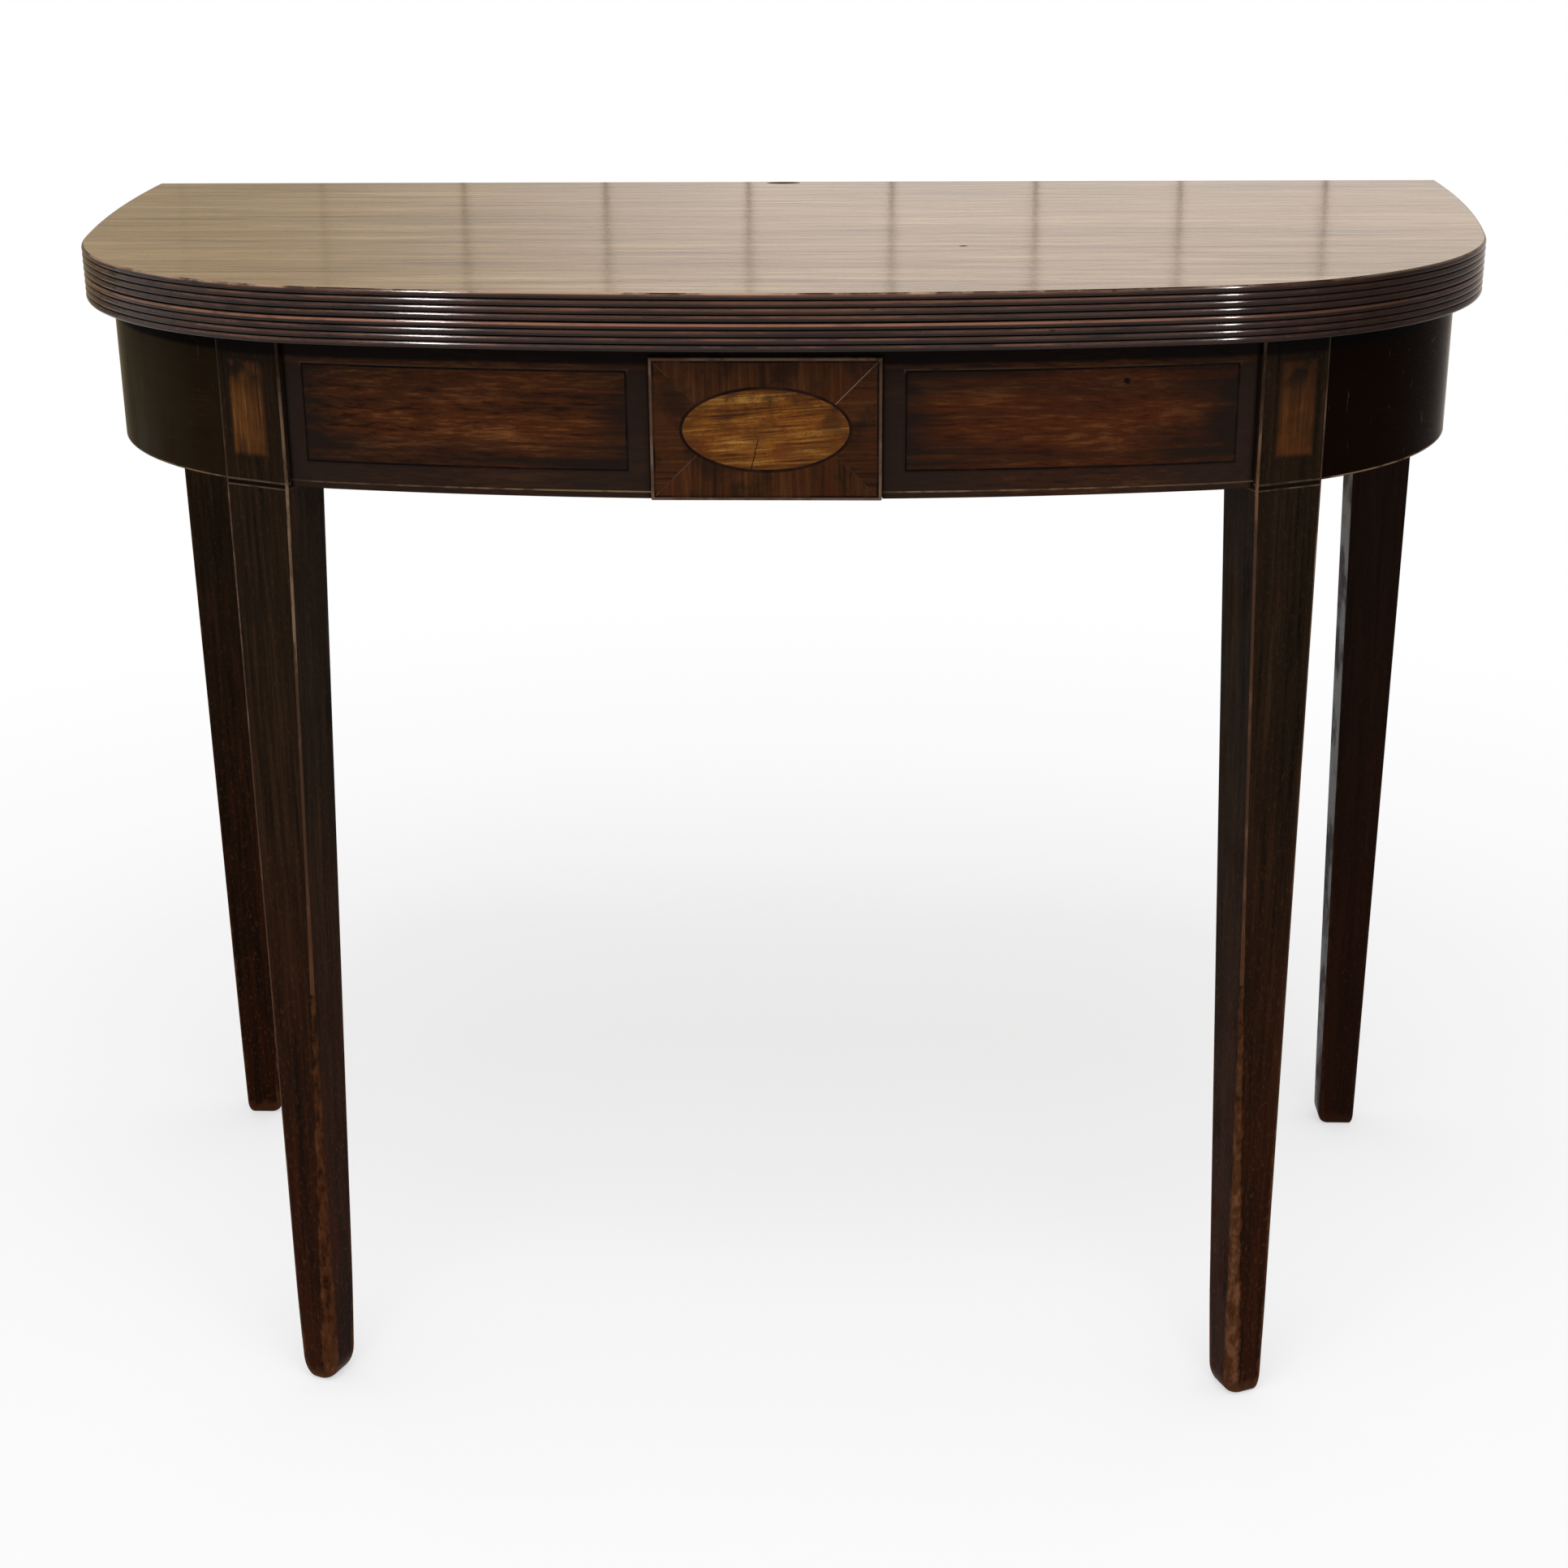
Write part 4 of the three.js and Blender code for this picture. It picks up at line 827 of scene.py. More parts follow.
def leg_finish(name, collar, amount):
    """Mahogany nearly black in the head and ruddier towards the foot, rubbed through on its corners."""
    material, tree, shader = new_finish(name, Specular_IOR_Level=0.012)
    place = object_place(tree)
    side, height = axis(tree, place, 0), axis(tree, place, 2)
    wood = wood_on(tree, object_place(tree, ALONG_Z), LEG_WOOD, 1.7, 0.4, 0.6)
    speckle = eased(tree, cloudy(tree, place, 520.0, 4.0, 0.7, (1, 1, 0.5)), 0.52, 0.72)
    ruddy = tinted(tree, eased(tree, wood["Figure"], 0.38, 0.62, 0.15, 1.0), LEG_DARK, LEG_LOW)
    wear = grouped(tree, WEAR, {"Edge": painted(tree, "edge"), "Vector": place, "Scale": 240.0,
                                "Amount": eased(tree, height, 0.08, 0.58, amount + 0.20, amount)})
    scuff = plus(tree, height, times(tree, cloudy(tree, place, 130.0, 4.0, 0.65), -0.020))
    colour = layered(
        tree, wood["Color"],
        (eased(tree, height, 0.05, 0.55, 0.85, 0.05), ruddy),
        (times(tree, speckle, eased(tree, height, 0.05, 0.55, 0.6, 0.25)), LEG_SPECK),
        (times(tree, wear["Rubbed"], 0.75), LEG_RUBBED),
        (times(tree, wear["Bare"], 0.55), RUBBED),
        (eased(tree, scuff, -0.006, 0.004, 0.55, 0.0), LEG_RUBBED),
        (eased(tree, side, 0.34, 0.40, 0.0, 0.62), LEG_SHADED),
        # painted shade: a near-black band under the overhanging top
        (shade_below_top(tree, height), EBONY))
    for at, width, tint, lost in COLLAR_LINES if collar else ():
        colour = tinted(tree, line_on(tree, place, height, FRIEZE_BOTTOM + at, width, lost), colour, tint)
    rough = sums(tree, "MAXIMUM", dirt_on(tree, place, 26.0, 0.4, 0.7), wear["Rubbed"])
    knocks = less(tree, wood["Height"], times(tree, wear["Bare"], 1.2))
    polished(tree, shader, colour, rough, knocks, 0.26, 0.54, 0.00009)
    return material


def corner_string(name, rings, side, mirror, material, low):
    """A boxwood string round one front corner of a front leg, following its taper and arris."""
    count = len(rings[0][1])
    first = 0 if side < 0 else CORNER_TO_CORNER
    reaches = (STRING_SIDE, STRING_FRONT) if side < 0 else (STRING_FRONT, STRING_SIDE)
    picked = [r for r in rings if low <= r[0] <= FRIEZE_TOP]
    points = []
    for z, ring, _ in picked:
        before, *arc, after = (Vector(ring[(first + i) % count]) for i in range(-1, CORNER_STEPS + 2))
        head = arc[0] + (before - arc[0]).normalized() * reaches[0]
        tail = arc[-1] + (after - arc[-1]).normalized() * reaches[1]
        line = [head, *arc, tail]
        middle = (arc[0] + arc[-1]) / 2
        centre = Vector((sum(p[0] for p in ring), sum(p[1] for p in ring))) / count
        core = middle + (centre - middle).normalized() * STRING_CORE
        outer = [p + (p - core).normalized() * STRING_PROUD for p in line]
        under = [p + (core - p).normalized() * STRING_DEPTH for p in reversed(line)]
        points += [(*leg_point(*p, LEG_PLACE, LEG_TURN, mirror), z) for p in outer + under]
    width = len(points) // len(picked)
    return make_piece(name, points, skin(len(picked), width) + caps(len(picked), width), [material], sharp=50)


def boxwood_string(name, gone, whole):
    """Boxwood gone tan at the head and all but lost in dirt and polish towards the foot."""
    material, tree, shader = new_finish(name, Specular_IOR_Level=0.03)
    place = object_place(tree)
    height = axis(tree, place, 2)
    blots = cloudy(tree, place, 70.0, 5.0, 0.7, (1, 1, 0.3))
    lost = plus(tree, blots, eased(tree, height, 0.35, 0.66, 0.18, -0.02))
    scuffed = eased(tree, cloudy(tree, place, 45.0, 4.0, 0.6, (1, 1, 0.5)), 0.56, 0.66)
    smoked = plus(tree, eased(tree, height, FRIEZE_BOTTOM, FRIEZE_BOTTOM + 0.012, 0.0, 0.34),
                  eased(tree, height, 0.655, 0.690, 0.0, 0.40))
    colour = layered(
        tree, PALE_BOXWOOD,
        (eased(tree, lost, 0.40, 0.58), DIRTY_BOXWOOD),
        (times(tree, scuffed, 0.5), RUBBED),
        (eased(tree, height, gone, whole, 0.85, 0.0), LEG_RUBBED),
        (smoked, LEG_HEAD_BLACK))
    surface(tree, shader, colour, eased(tree, blots, 0.3, 0.7, 0.28, 0.5), blots, 0.4, 0.0003)
    return material


def panel_finish():
    """The inlaid panel on a leg's head: figured veneer stood on end, smoked dark at the top."""
    material, tree, shader = new_finish("leg panel veneer", Specular_IOR_Level=0.03)
    place, face = object_place(tree), face_place(tree)
    height = axis(tree, place, 2)
    wood = wood_on(tree, object_place(tree, ALONG_Z), PANEL_WOOD, 2.2, 0.16, 0.3)
    smoke = dirt_on(tree, place, 62.0, 0.38, 0.62)
    high_smoke = times(tree, eased(tree, smoke, 0, 1, 0.50, 0.94), eased(tree, height, 0.664, 0.688))
    rim = sums(tree, "MINIMUM", axis(tree, face, 0), axis(tree, face, 1))
    colour = layered(
        tree, wood["Color"],
        (eased(tree, axis(tree, place, 0), -0.1, 0.1, 0.12, 0.66), PANEL_RED),
        (sums(tree, "MAXIMUM", times(tree, smoke, 0.42), high_smoke), LEG_DARK),
        (eased(tree, rim, 0.0009, 0.0014, 0.55, 0.0), EBONY),
        (eased(tree, rim, 0.0014, 0.0035, 0.45, 0.0), LEG_DARK))
    polished(tree, shader, colour, smoke, wood["Height"], 0.20, 0.42)
    return material


def leg_panel(name, mirror, material):
    """A thin plate lying in the face of a leg's head, its UV the distance from its own edges."""
    points, uv = [], []
    for depth in (-PANEL_PROUD, PANEL_DEPTH):
        for z in (PANEL_LOW, (PANEL_LOW + PANEL_HIGH) / 2, PANEL_HIGH):
            for x in (-PANEL_HALF_WIDTH, 0.0, PANEL_HALF_WIDTH):
                points.append((*leg_point(x + PANEL_SHIFT, depth, LEG_PLACE, LEG_TURN, mirror), z))
                uv.append((PANEL_HALF_WIDTH - abs(x), min(z - PANEL_LOW, PANEL_HIGH - z)))
    corners = [layer + row + column for layer in (0, 9) for row in (0, 3) for column in (0, 1)]
    faces = [(a, a + 1, a + 4, a + 3) for a in corners]
    rim = [0, 1, 2, 5, 8, 7, 6, 3]
    faces += [(a, b, b + 9, a + 9) for a, b in zip(rim, rim[1:] + rim[:1])]
    return make_piece(name, points, faces, [material], uv=uv)


front_leg_finish = leg_finish("front leg mahogany", True, 0.52)
strings = (("inner", -1, INNER_END, boxwood_string("inner corner string", INNER_END, INNER_END + 0.10)),
           ("outer", 1, OUTER_END, boxwood_string("outer corner string", 0.0, OUTER_END)))
panel_veneer = panel_finish()
for hand, side in (("right", 1), ("left", -1)):
    insets, foot_arris, rise = FRONT_FEET[hand]
    rings = leg_rings(FRONT_HEAD, FRONT_FOOT, FRIEZE_TOP, rise, insets, foot_arris, INNER_WEAR)
    leg = leg_mesh(f"front_post_{hand}", rings, LEG_PLACE, LEG_TURN, side, front_leg_finish)
    settle(leg, "table_frame", "leg_mahogany", f"front_leg_{hand}")
    for edge_name, edge_side, low_end, boxwood in strings:
        string = corner_string(f"corner_string_{edge_name}_{hand}", rings, edge_side, side, boxwood, low_end)
        settle(string, "table_frame", "satinwood")
    panel = leg_panel(f"leg_inlay_{hand}", side, panel_veneer)
    settle(panel, "table_frame", "panel_veneer", f"leg_panel_{hand}")

# Rear legs: plain mahogany posts behind the ends of the frieze, each glued to the end of a
# swinging rail. Their outer sides stand upright and they taper on the inner and front sides.

REAR_PLACE = Vector((0.4470, 0.2233, 0))
REAR_HEAD = (-0.042, 0.0, -0.042, 0.0)
REAR_FOOT = (-0.027, 0.0, -0.026, 0.0)
REAR_FEET = {"right": ((0.0052, 0.0020, 0.0040, 0.0040), (0.0040, 0.0015, 0.0020, 0.0030), 0.010),
             "left": ((0.0060, 0.0035, 0.0040, 0.0040), (0.0040, 0.0025, 0.0020, 0.0030), 0.010)}
GATE_TOP = 0.7065

rear_leg_finish = leg_finish("rear leg mahogany", False, 0.44)
for hand, side in (("right", 1), ("left", -1)):
    insets, foot_arris, rise = REAR_FEET[hand]
    rings = leg_rings(REAR_HEAD, REAR_FOOT, GATE_TOP, rise, insets, foot_arris)
    leg = leg_mesh(f"rear_post_{hand}", rings, REAR_PLACE, 0.0, side, rear_leg_finish)
    settle(leg, f"{hand}_gate", "leg_mahogany", f"rear_leg_{hand}")

# Gates: fly rails of stained beech swing on wooden knuckles, cut into their ends and into the
# ends of a fixed rail, on iron pins. The tongue of the folding leaf is of the same wood.

BEECH = (0.050, 0.024, 0.011, 1), (0.100, 0.052, 0.026, 1), (0.155, 0.088, 0.046, 1)

dress(["hinge_rail", "fly_rail_right", "fly_rail_left", "leaf_tongue"],
      sawn_timber("stained beech", ALONG_X, BEECH, 1.2, 0.25))

# Iron: the knuckle pins, and the screws that hold the top and the rails, their threads and slots
# filed by hand. Black from the forge, brown with old rust.

RAIL_MIDDLE = FRIEZE_OVERHANG + 0.0115
TOP_SCREW_TILT, TOP_SCREW_LENGTH, TOP_SCREW_BITE = 0.35, 0.038, 0.011
FRONT_SCREW_X, END_SCREW_REACH, BACK_SCREW = 0.150, 0.210, Vector((0.215, 0.171))
THREAD_CUT = 0.09
IRON = (0.170, 0.155, 0.140, 1)
RUST = (0.085, 0.032, 0.014, 1)


def old_metal(name, tints, tarnish, rough, strength, distance, height=None):
    """Bare metal with patches of rust or tarnish that dull it."""
    material, tree, shader = new_finish(name, Metallic=1.0)
    place = object_place(tree)
    patches = dirt_on(tree, place, *tarnish)
    surface(tree, shader, tinted(tree, patches, *tints), eased(tree, patches, 0, 1, *rough),
            cloudy(tree, place, *height) if height else patches, strength, distance)
    return material


def screw_maker():
    """Makes a wood screw at each point, pointing its way: slotted cone head, threaded shank, sharp end."""
    tree = bpy.data.node_groups.new("wood screws", "GeometryNodeTree")
    tree.is_modifier = True
    keys = {}
    for label, kind, value in (
            ("Points", "Geometry", None), ("Head Radius", "Float", 0.0042), ("Cone", "Float", 0.0026),
            ("Shank Radius", "Float", 0.0020), ("Length", "Float", 0.038), ("Pitch", "Float", 0.0024),
            ("Slot Width", "Float", 0.0009), ("Slot Depth", "Float", 0.0011), ("Rings", "Int", 90),
            ("Seed", "Int", 5), ("Metal", "Material", None)):
        socket = tree.interface.new_socket(name=label, in_out="INPUT", socket_type=f"NodeSocket{kind}")
        if value is not None:
            socket.default_value = value
        keys[label] = socket.identifier
    tree.interface.new_socket(name="Screws", in_out="OUTPUT", socket_type="NodeSocketGeometry")
    given = tree.nodes.new("NodeGroupInput").outputs
    end = put(tree, "ShaderNodeCombineXYZ", {"Z": given["Length"]}).outputs[0]
    line = put(tree, "GeometryNodeCurvePrimitiveLine", {"End": end}).outputs[0]
    line = put(tree, "GeometryNodeResampleCurve", {"Curve": line, "Count": given["Rings"]}).outputs[0]
    along = axis(tree, put(tree, "GeometryNodeInputPosition").outputs[0], 2)
    head = eased(tree, along, 0.0, given["Cone"], given["Head Radius"], given["Shank Radius"], "LINEAR")
    turn = sums(tree, "SINE", sums(tree, "DIVIDE", times(tree, along, 2 * math.pi), given["Pitch"]))
    threaded = sums(tree, "GREATER_THAN", along, times(tree, given["Length"], 0.35))
    root = sums(tree, "MULTIPLY_ADD", turn, THREAD_CUT, 1 - THREAD_CUT)
    thread = put(tree, "ShaderNodeMix", {0: threaded, 2: 1.0, 3: root}, data_type="FLOAT").outputs[0]
    neck = less(tree, given["Length"], given["Head Radius"])
    point = eased(tree, along, neck, given["Length"], 1.0, 0.04, "LINEAR")
    radius = times(tree, head, thread, point)
    line = put(tree, "GeometryNodeSetCurveRadius", {"Curve": line, "Radius": radius}).outputs[0]
    ring = put(tree, "GeometryNodeCurvePrimitiveCircle", {"Resolution": 18, "Radius": 1.0}).outputs[0]
    sweep = put(tree, "GeometryNodeCurveToMesh", {"Curve": line, "Profile Curve": ring, "Fill Caps": True})
    if "Scale" in sweep.inputs:
        tree.links.new(put(tree, "GeometryNodeInputRadius").outputs[0], sweep.inputs["Scale"])
    size = put(tree, "ShaderNodeCombineXYZ", {
        "X": times(tree, given["Head Radius"], 3.0), "Y": given["Slot Width"],
        "Z": times(tree, given["Slot Depth"], 2.0)}).outputs[0]
    blade = put(tree, "GeometryNodeMeshCube", {"Size": size}).outputs[0]
    screw = put(tree, "GeometryNodeMeshBoolean", {"Mesh 1": sweep.outputs[0], "Mesh 2": blade},
                operation="DIFFERENCE").outputs[0]
    spin = put(tree, "FunctionNodeRandomValue", {2: 0.0, 3: math.pi, "Seed": given["Seed"]},
               data_type="FLOAT").outputs[1]
    upright = put(tree, "ShaderNodeCombineXYZ", {"Z": spin}).outputs[0]
    driven = put(tree, "FunctionNodeEulerToRotation", {0: upright}).outputs[0]
    way = put(tree, "GeometryNodeInputNamedAttribute", {"Name": "way"}, data_type="FLOAT_VECTOR").outputs[0]
    aimed = put(tree, "FunctionNodeAlignRotationToVector", {"Rotation": driven, "Vector": way}, axis="Z").outputs[0]
    placed = put(tree, "GeometryNodeInstanceOnPoints", {
        "Points": given["Points"], "Instance": screw, "Rotation": aimed}).outputs[0]
    real = put(tree, "GeometryNodeRealizeInstances", {"Geometry": placed}).outputs[0]
    done = put(tree, "GeometryNodeSetMaterial", {"Geometry": real, "Material": given["Metal"]}).outputs[0]
    tree.links.new(done, tree.nodes.new("NodeGroupOutput").inputs[0])
    return tree, keys


SCREW_TREE, SCREW_KEYS = screw_maker()


def bake(piece):
    """Takes a piece's modifiers into its mesh."""
    done = bpy.data.meshes.new_from_object(piece.evaluated_get(bpy.context.evaluated_depsgraph_get()))
    piece.modifiers.clear()
    piece.data = done
    return done


def screws(name, places, metal, **sizes):
    """Screws driven at places, each a head centre and the way it points."""
    mesh = bpy.data.meshes.new(name)
    mesh.from_pydata([tuple(place) for place, _ in places], [], [])
    ways = [part for _, way in places for part in way]
    mesh.attributes.new("way", "FLOAT_VECTOR", "POINT").data.foreach_set("vector", ways)
    piece = on_scene(name, mesh)
    change = piece.modifiers.new("screws", "NODES")
    change.node_group = SCREW_TREE
    for label, value in {"Metal": metal, **sizes}.items():
        change[SCREW_KEYS[label.replace("_", " ")]] = value
    smooth_skin(bake(piece), 40)
    return piece


def top_screw_places():
    """Heads in the pockets of the rails, pointing up and out through the rails into the fixed leaf."""
    front = on_d(RAIL_MIDDLE, travel_at(RAIL_MIDDLE, FRONT_SCREW_X))
    end_way = math.asin(-END_SCREW_REACH / (SIDE_BOW - RAIL_MIDDLE))
    end_out = Vector((math.cos(end_way), math.sin(end_way)))
    end = SIDE_CENTRE + end_out * (SIDE_BOW - RAIL_MIDDLE), end_out
    lean = math.sin(TOP_SCREW_TILT)
    places = []
    for side in (1, -1):
        for at, out in (front, end, (BACK_SCREW, Vector((0, 1)))):
            way = Vector((side * out.x * lean, out.y * lean, math.cos(TOP_SCREW_TILT)))
            head = Vector((side * at.x, at.y, FRIEZE_TOP)) + way * (TOP_SCREW_BITE - TOP_SCREW_LENGTH)
            places.append((head, way))
    return places


def head_of(node, way):
    """The middle of a straight CAD screw's head, found from its box and the way it points."""
    low, high = (Vector(corner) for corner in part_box(node))
    return Vector([(l + h) / 2 if w == 0 else (l if w > 0 else h) for l, h, w in zip(low, high, way)]), way


iron = old_metal("wrought iron", (IRON, RUST), (180.0, 0.42, 0.62), (0.42, 0.85), 0.6, 0.0002)
dress(["knuckle_pin_right", "knuckle_pin_left"], iron)
top_screws = [f"top_screw_{i}" for i in range(1, 7)]
settle(screws("pocket_screws", top_screw_places(), iron), "table_frame", "iron", *top_screws)
rail_screws = [f"rail_screw_{i}" for i in range(1, 5)]
rail_heads = [head_of(name, (0, 1, 0)) for name in rail_screws]
settle(screws("hinge_rail_screws", rail_heads, iron, Length=0.050, Rings=120, Seed=9),
       "table_frame", "iron", *rail_screws)

# Leaves: two D-shaped mahogany boards, one lying on the other, with four reeds planed round the
# edge of each. Old French polish on fine level grain, mellow brown above, darker on the reeds,
# with the uppermost reed of the lower leaf rubbed pale.

LEAF_THICKNESS = 0.0162
FOLDING_BOTTOM, FIXED_BOTTOM = 0.7238, 0.7073
BACK_SHY, BACK_CLEAR = 0.00015, 0.002
LEAF_BACK = BACK_EDGE - BACK_SHY
REEDS, REED_DEPTH, REED_STEPS = 4, 0.0014, 12
D_STEPS = 230
CREST_SHY = 0.000002
SHOULDER = math.radians(122)
SEAM = 0.72365
DING, DING_SIZE = (0.1142, -0.0692, 0.740), (0.0026, 0.0022, 0.0012)
CHIP, CHIP_SIZE = (-0.0057, BACK_EDGE - 0.0062, 0.7403), (0.0122, 0.0056, 0.0022)
CUT_FACE = 3
PLATE_NEAR, PLATE_FAR, PLATE_LAP = 0.0038, 0.0124, 0.002
HINGE_END = TOP_HALF_WIDTH + 0.002
PLATE_SEATS = ((0.4556, 0.0363, PLATE_NEAR, PLATE_FAR), (0.4555, 0.0093, -PLATE_LAP, PLATE_FAR))
ARM_SEATS = ((0.4528, 0.0173, PLATE_NEAR + 0.0001, PLATE_FAR - 0.0001),
             (0.4527, 0.0091, -PLATE_LAP - 0.0001, PLATE_FAR - 0.0002))
EYE_FROM, EYE_TO, EYE_RADIUS = 0.4526, 0.4602, 0.0045
TONGUE_MORTISE = (0.0118, 0.0123, 0.71235, 0.71895)
TONGUE_HOUSING = (0.0121, 0.0063, 0.72805, 0.73633)
TOP_WOOD = (0.062, 0.032, 0.012, 1), (0.200, 0.122, 0.058, 1), (0.400, 0.265, 0.140, 1)
REED_DARK = (0.014, 0.0056, 0.0034, 1)
REED_WOOD = REED_DARK, (0.052, 0.0210, 0.0120, 1), (0.118, 0.050, 0.0280, 1)
INNER_WOOD = (0.050, 0.019, 0.010, 1), (0.105, 0.044, 0.022, 1), (0.170, 0.078, 0.038, 1)
REED_WEAR_AND_SHEEN = (0.250, 0.105, 0.058, 1)
REED_SHADED = (0.013, 0.0056, 0.0036, 1)
REED_OLIVE = (0.034, 0.023, 0.0130, 1)
ARRIS_WORN = (0.420, 0.270, 0.175, 1)


def leaf_shell(name, bottom, worn_reed, materials):
    """Rings of the D from the bottom face up over the reeds to the top face, closed flat at both."""
    pitch = LEAF_THICKNESS / REEDS
    profile = []
    for reed in range(REEDS):
        for i in range(REED_STEPS):
            angle = math.pi * i / REED_STEPS
            profile.append((REED_DEPTH * (1 - math.sin(angle)), pitch * (reed + (1 - math.cos(angle)) / 2),
                            math.sin(angle), max(0.0, math.cos((angle - SHOULDER) * 1.8)), reed == worn_reed))
    profile.append((REED_DEPTH, LEAF_THICKNESS, 0.0, 1.0, False))
    points, values = [], {"crest": [], "shoulder": [], "worn": []}
    count = D_STEPS + 1
    for inset, rise, crest, shoulder, worn in profile:
        inset += CREST_SHY
        reach = half_length(inset)
        for i in range(count):
            place, _ = on_d(inset, reach - 2 * reach * i / D_STEPS)
            y = LEAF_BACK if i in (0, D_STEPS) else min(place.y, LEAF_BACK)
            points.append((place.x, y, bottom + rise))
            for key, value in zip(values, (crest, shoulder, float(worn))):
                values[key].append(value)
    under, top = caps(len(profile), count)
    faces = skin(len(profile), count) + [tuple(reversed(under)), top]
    slots = ([1] * (count - 1) + [CUT_FACE]) * (len(profile) - 1) + [2, 0]
    return make_piece(name, points, faces, materials, slots, values, sharp=60)


def box_cutter(x0, x1, reach, z0, z1):
    """Cuts a box out of the back edge, from x0 to x1, to a reach from the edge."""
    low, high = (min(x0, x1), BACK_EDGE - reach, min(z0, z1)), (max(x0, x1), BACK_EDGE + BACK_CLEAR, max(z0, z1))
    return lambda shell: box_shell(shell, low, high)


def eye_cutter(side):
    """Cuts room for the eyes of a hinge round its pin."""
    spin = Matrix.Translation((side * (EYE_FROM + EYE_TO) / 2, BACK_EDGE, SEAM)) @ Matrix.Rotation(math.pi / 2, 4, "Y")
    return lambda shell: bmesh.ops.create_cone(
        shell, cap_ends=True, segments=40, radius1=EYE_RADIUS, radius2=EYE_RADIUS, depth=EYE_TO - EYE_FROM, matrix=spin)


def hollow_cutter(place, size, steps):
    """Cuts a rounded hollow of a size, such as a chip or a dent."""
    shape = Matrix.Translation(place) @ Matrix.Diagonal((*size, 1))
    return lambda shell: bmesh.ops.create_uvsphere(
        shell, u_segments=2 * steps, v_segments=steps, radius=1.0, matrix=shape)


def cut_away(piece, cutters):
    """Cuts each cutter out of a piece, one after another, and throws the cutters away."""
    for draw in cutters:
        shell = bmesh.new()
        draw(shell)
        bmesh.ops.recalc_face_normals(shell, faces=shell.faces)
        mesh = bpy.data.meshes.new("cutter")
        shell.to_mesh(mesh)
        shell.free()
        for _ in range(CUT_FACE + 1):
            mesh.materials.append(raw_mahogany)
        mesh.polygons.foreach_set("material_index", [CUT_FACE] * len(mesh.polygons))
        cutter = on_scene("cutter", mesh)
        change = piece.modifiers.new("cut", "BOOLEAN")
        change.object, change.operation, change.solver = cutter, "DIFFERENCE", "EXACT"
        bake(piece)
        bpy.data.objects.remove(cutter)


def hinge_cutters(sign, seats):
    """Room for the hinge plates in both ends of a leaf, which lies above (1) or below (-1) the seam."""
    cutters = []
    for side in (1, -1):
        cutters += [box_cutter(side * x, side * HINGE_END, reach, SEAM + sign * near, SEAM + sign * far)
                    for x, reach, near, far in seats]
        cutters.append(eye_cutter(side))
    return cutters


def top_finish(name, tones, rough_low, rough_high, sink):
    """Level, polished mahogany, bruised and dented, darkened with grime in its pores and along its back."""
    material, tree, shader = new_finish(name, IOR=1.47)
    place = object_place(tree)
    wood = wood_on(tree, moved(tree, place, Scale=(0.9, 0.55, 0.55)), tones, 1.0, 0.25, 0.75)
    dirt = dirt_on(tree, place, 6.0, 0.38, 0.70)
    bruises = put(tree, "ShaderNodeTexVoronoi", {"Vector": place, "Scale": 16.0, "Randomness": 1.0}).outputs["Distance"]
    bruise = times(tree, eased(tree, bruises, 0.018, 0.035, 1.0, 0.0), 0.7)
    from_ding = put(tree, "ShaderNodeVectorMath", {0: place, 1: DING}, operation="DISTANCE").outputs["Value"]
    ragged = plus(tree, from_ding, times(tree, cloudy(tree, place, 300.0), 0.002))
    colour = layered(
        tree, wood["Color"],
        (times(tree, dirt, 0.28), tones[0]),
        (bruise, REED_DARK),
        (eased(tree, ragged, 0.0022, 0.0034, 1.0, 0.0), EBONY),
        (eased(tree, axis(tree, place, 1), LEAF_BACK - 0.0020, LEAF_BACK - 0.0008, 0.0, 0.92), EBONY))
    ripple = cloudy(tree, place, 1.0, 6.0, 0.68, (15, 88, 88))
    fine = times(tree, less(tree, wood["Height"], bruise), 0.10)
    surface(tree, shader, colour, eased(tree, dirt, 0, 1, rough_low, rough_high), plus(tree, ripple, fine), 1.0, sink)
    return material


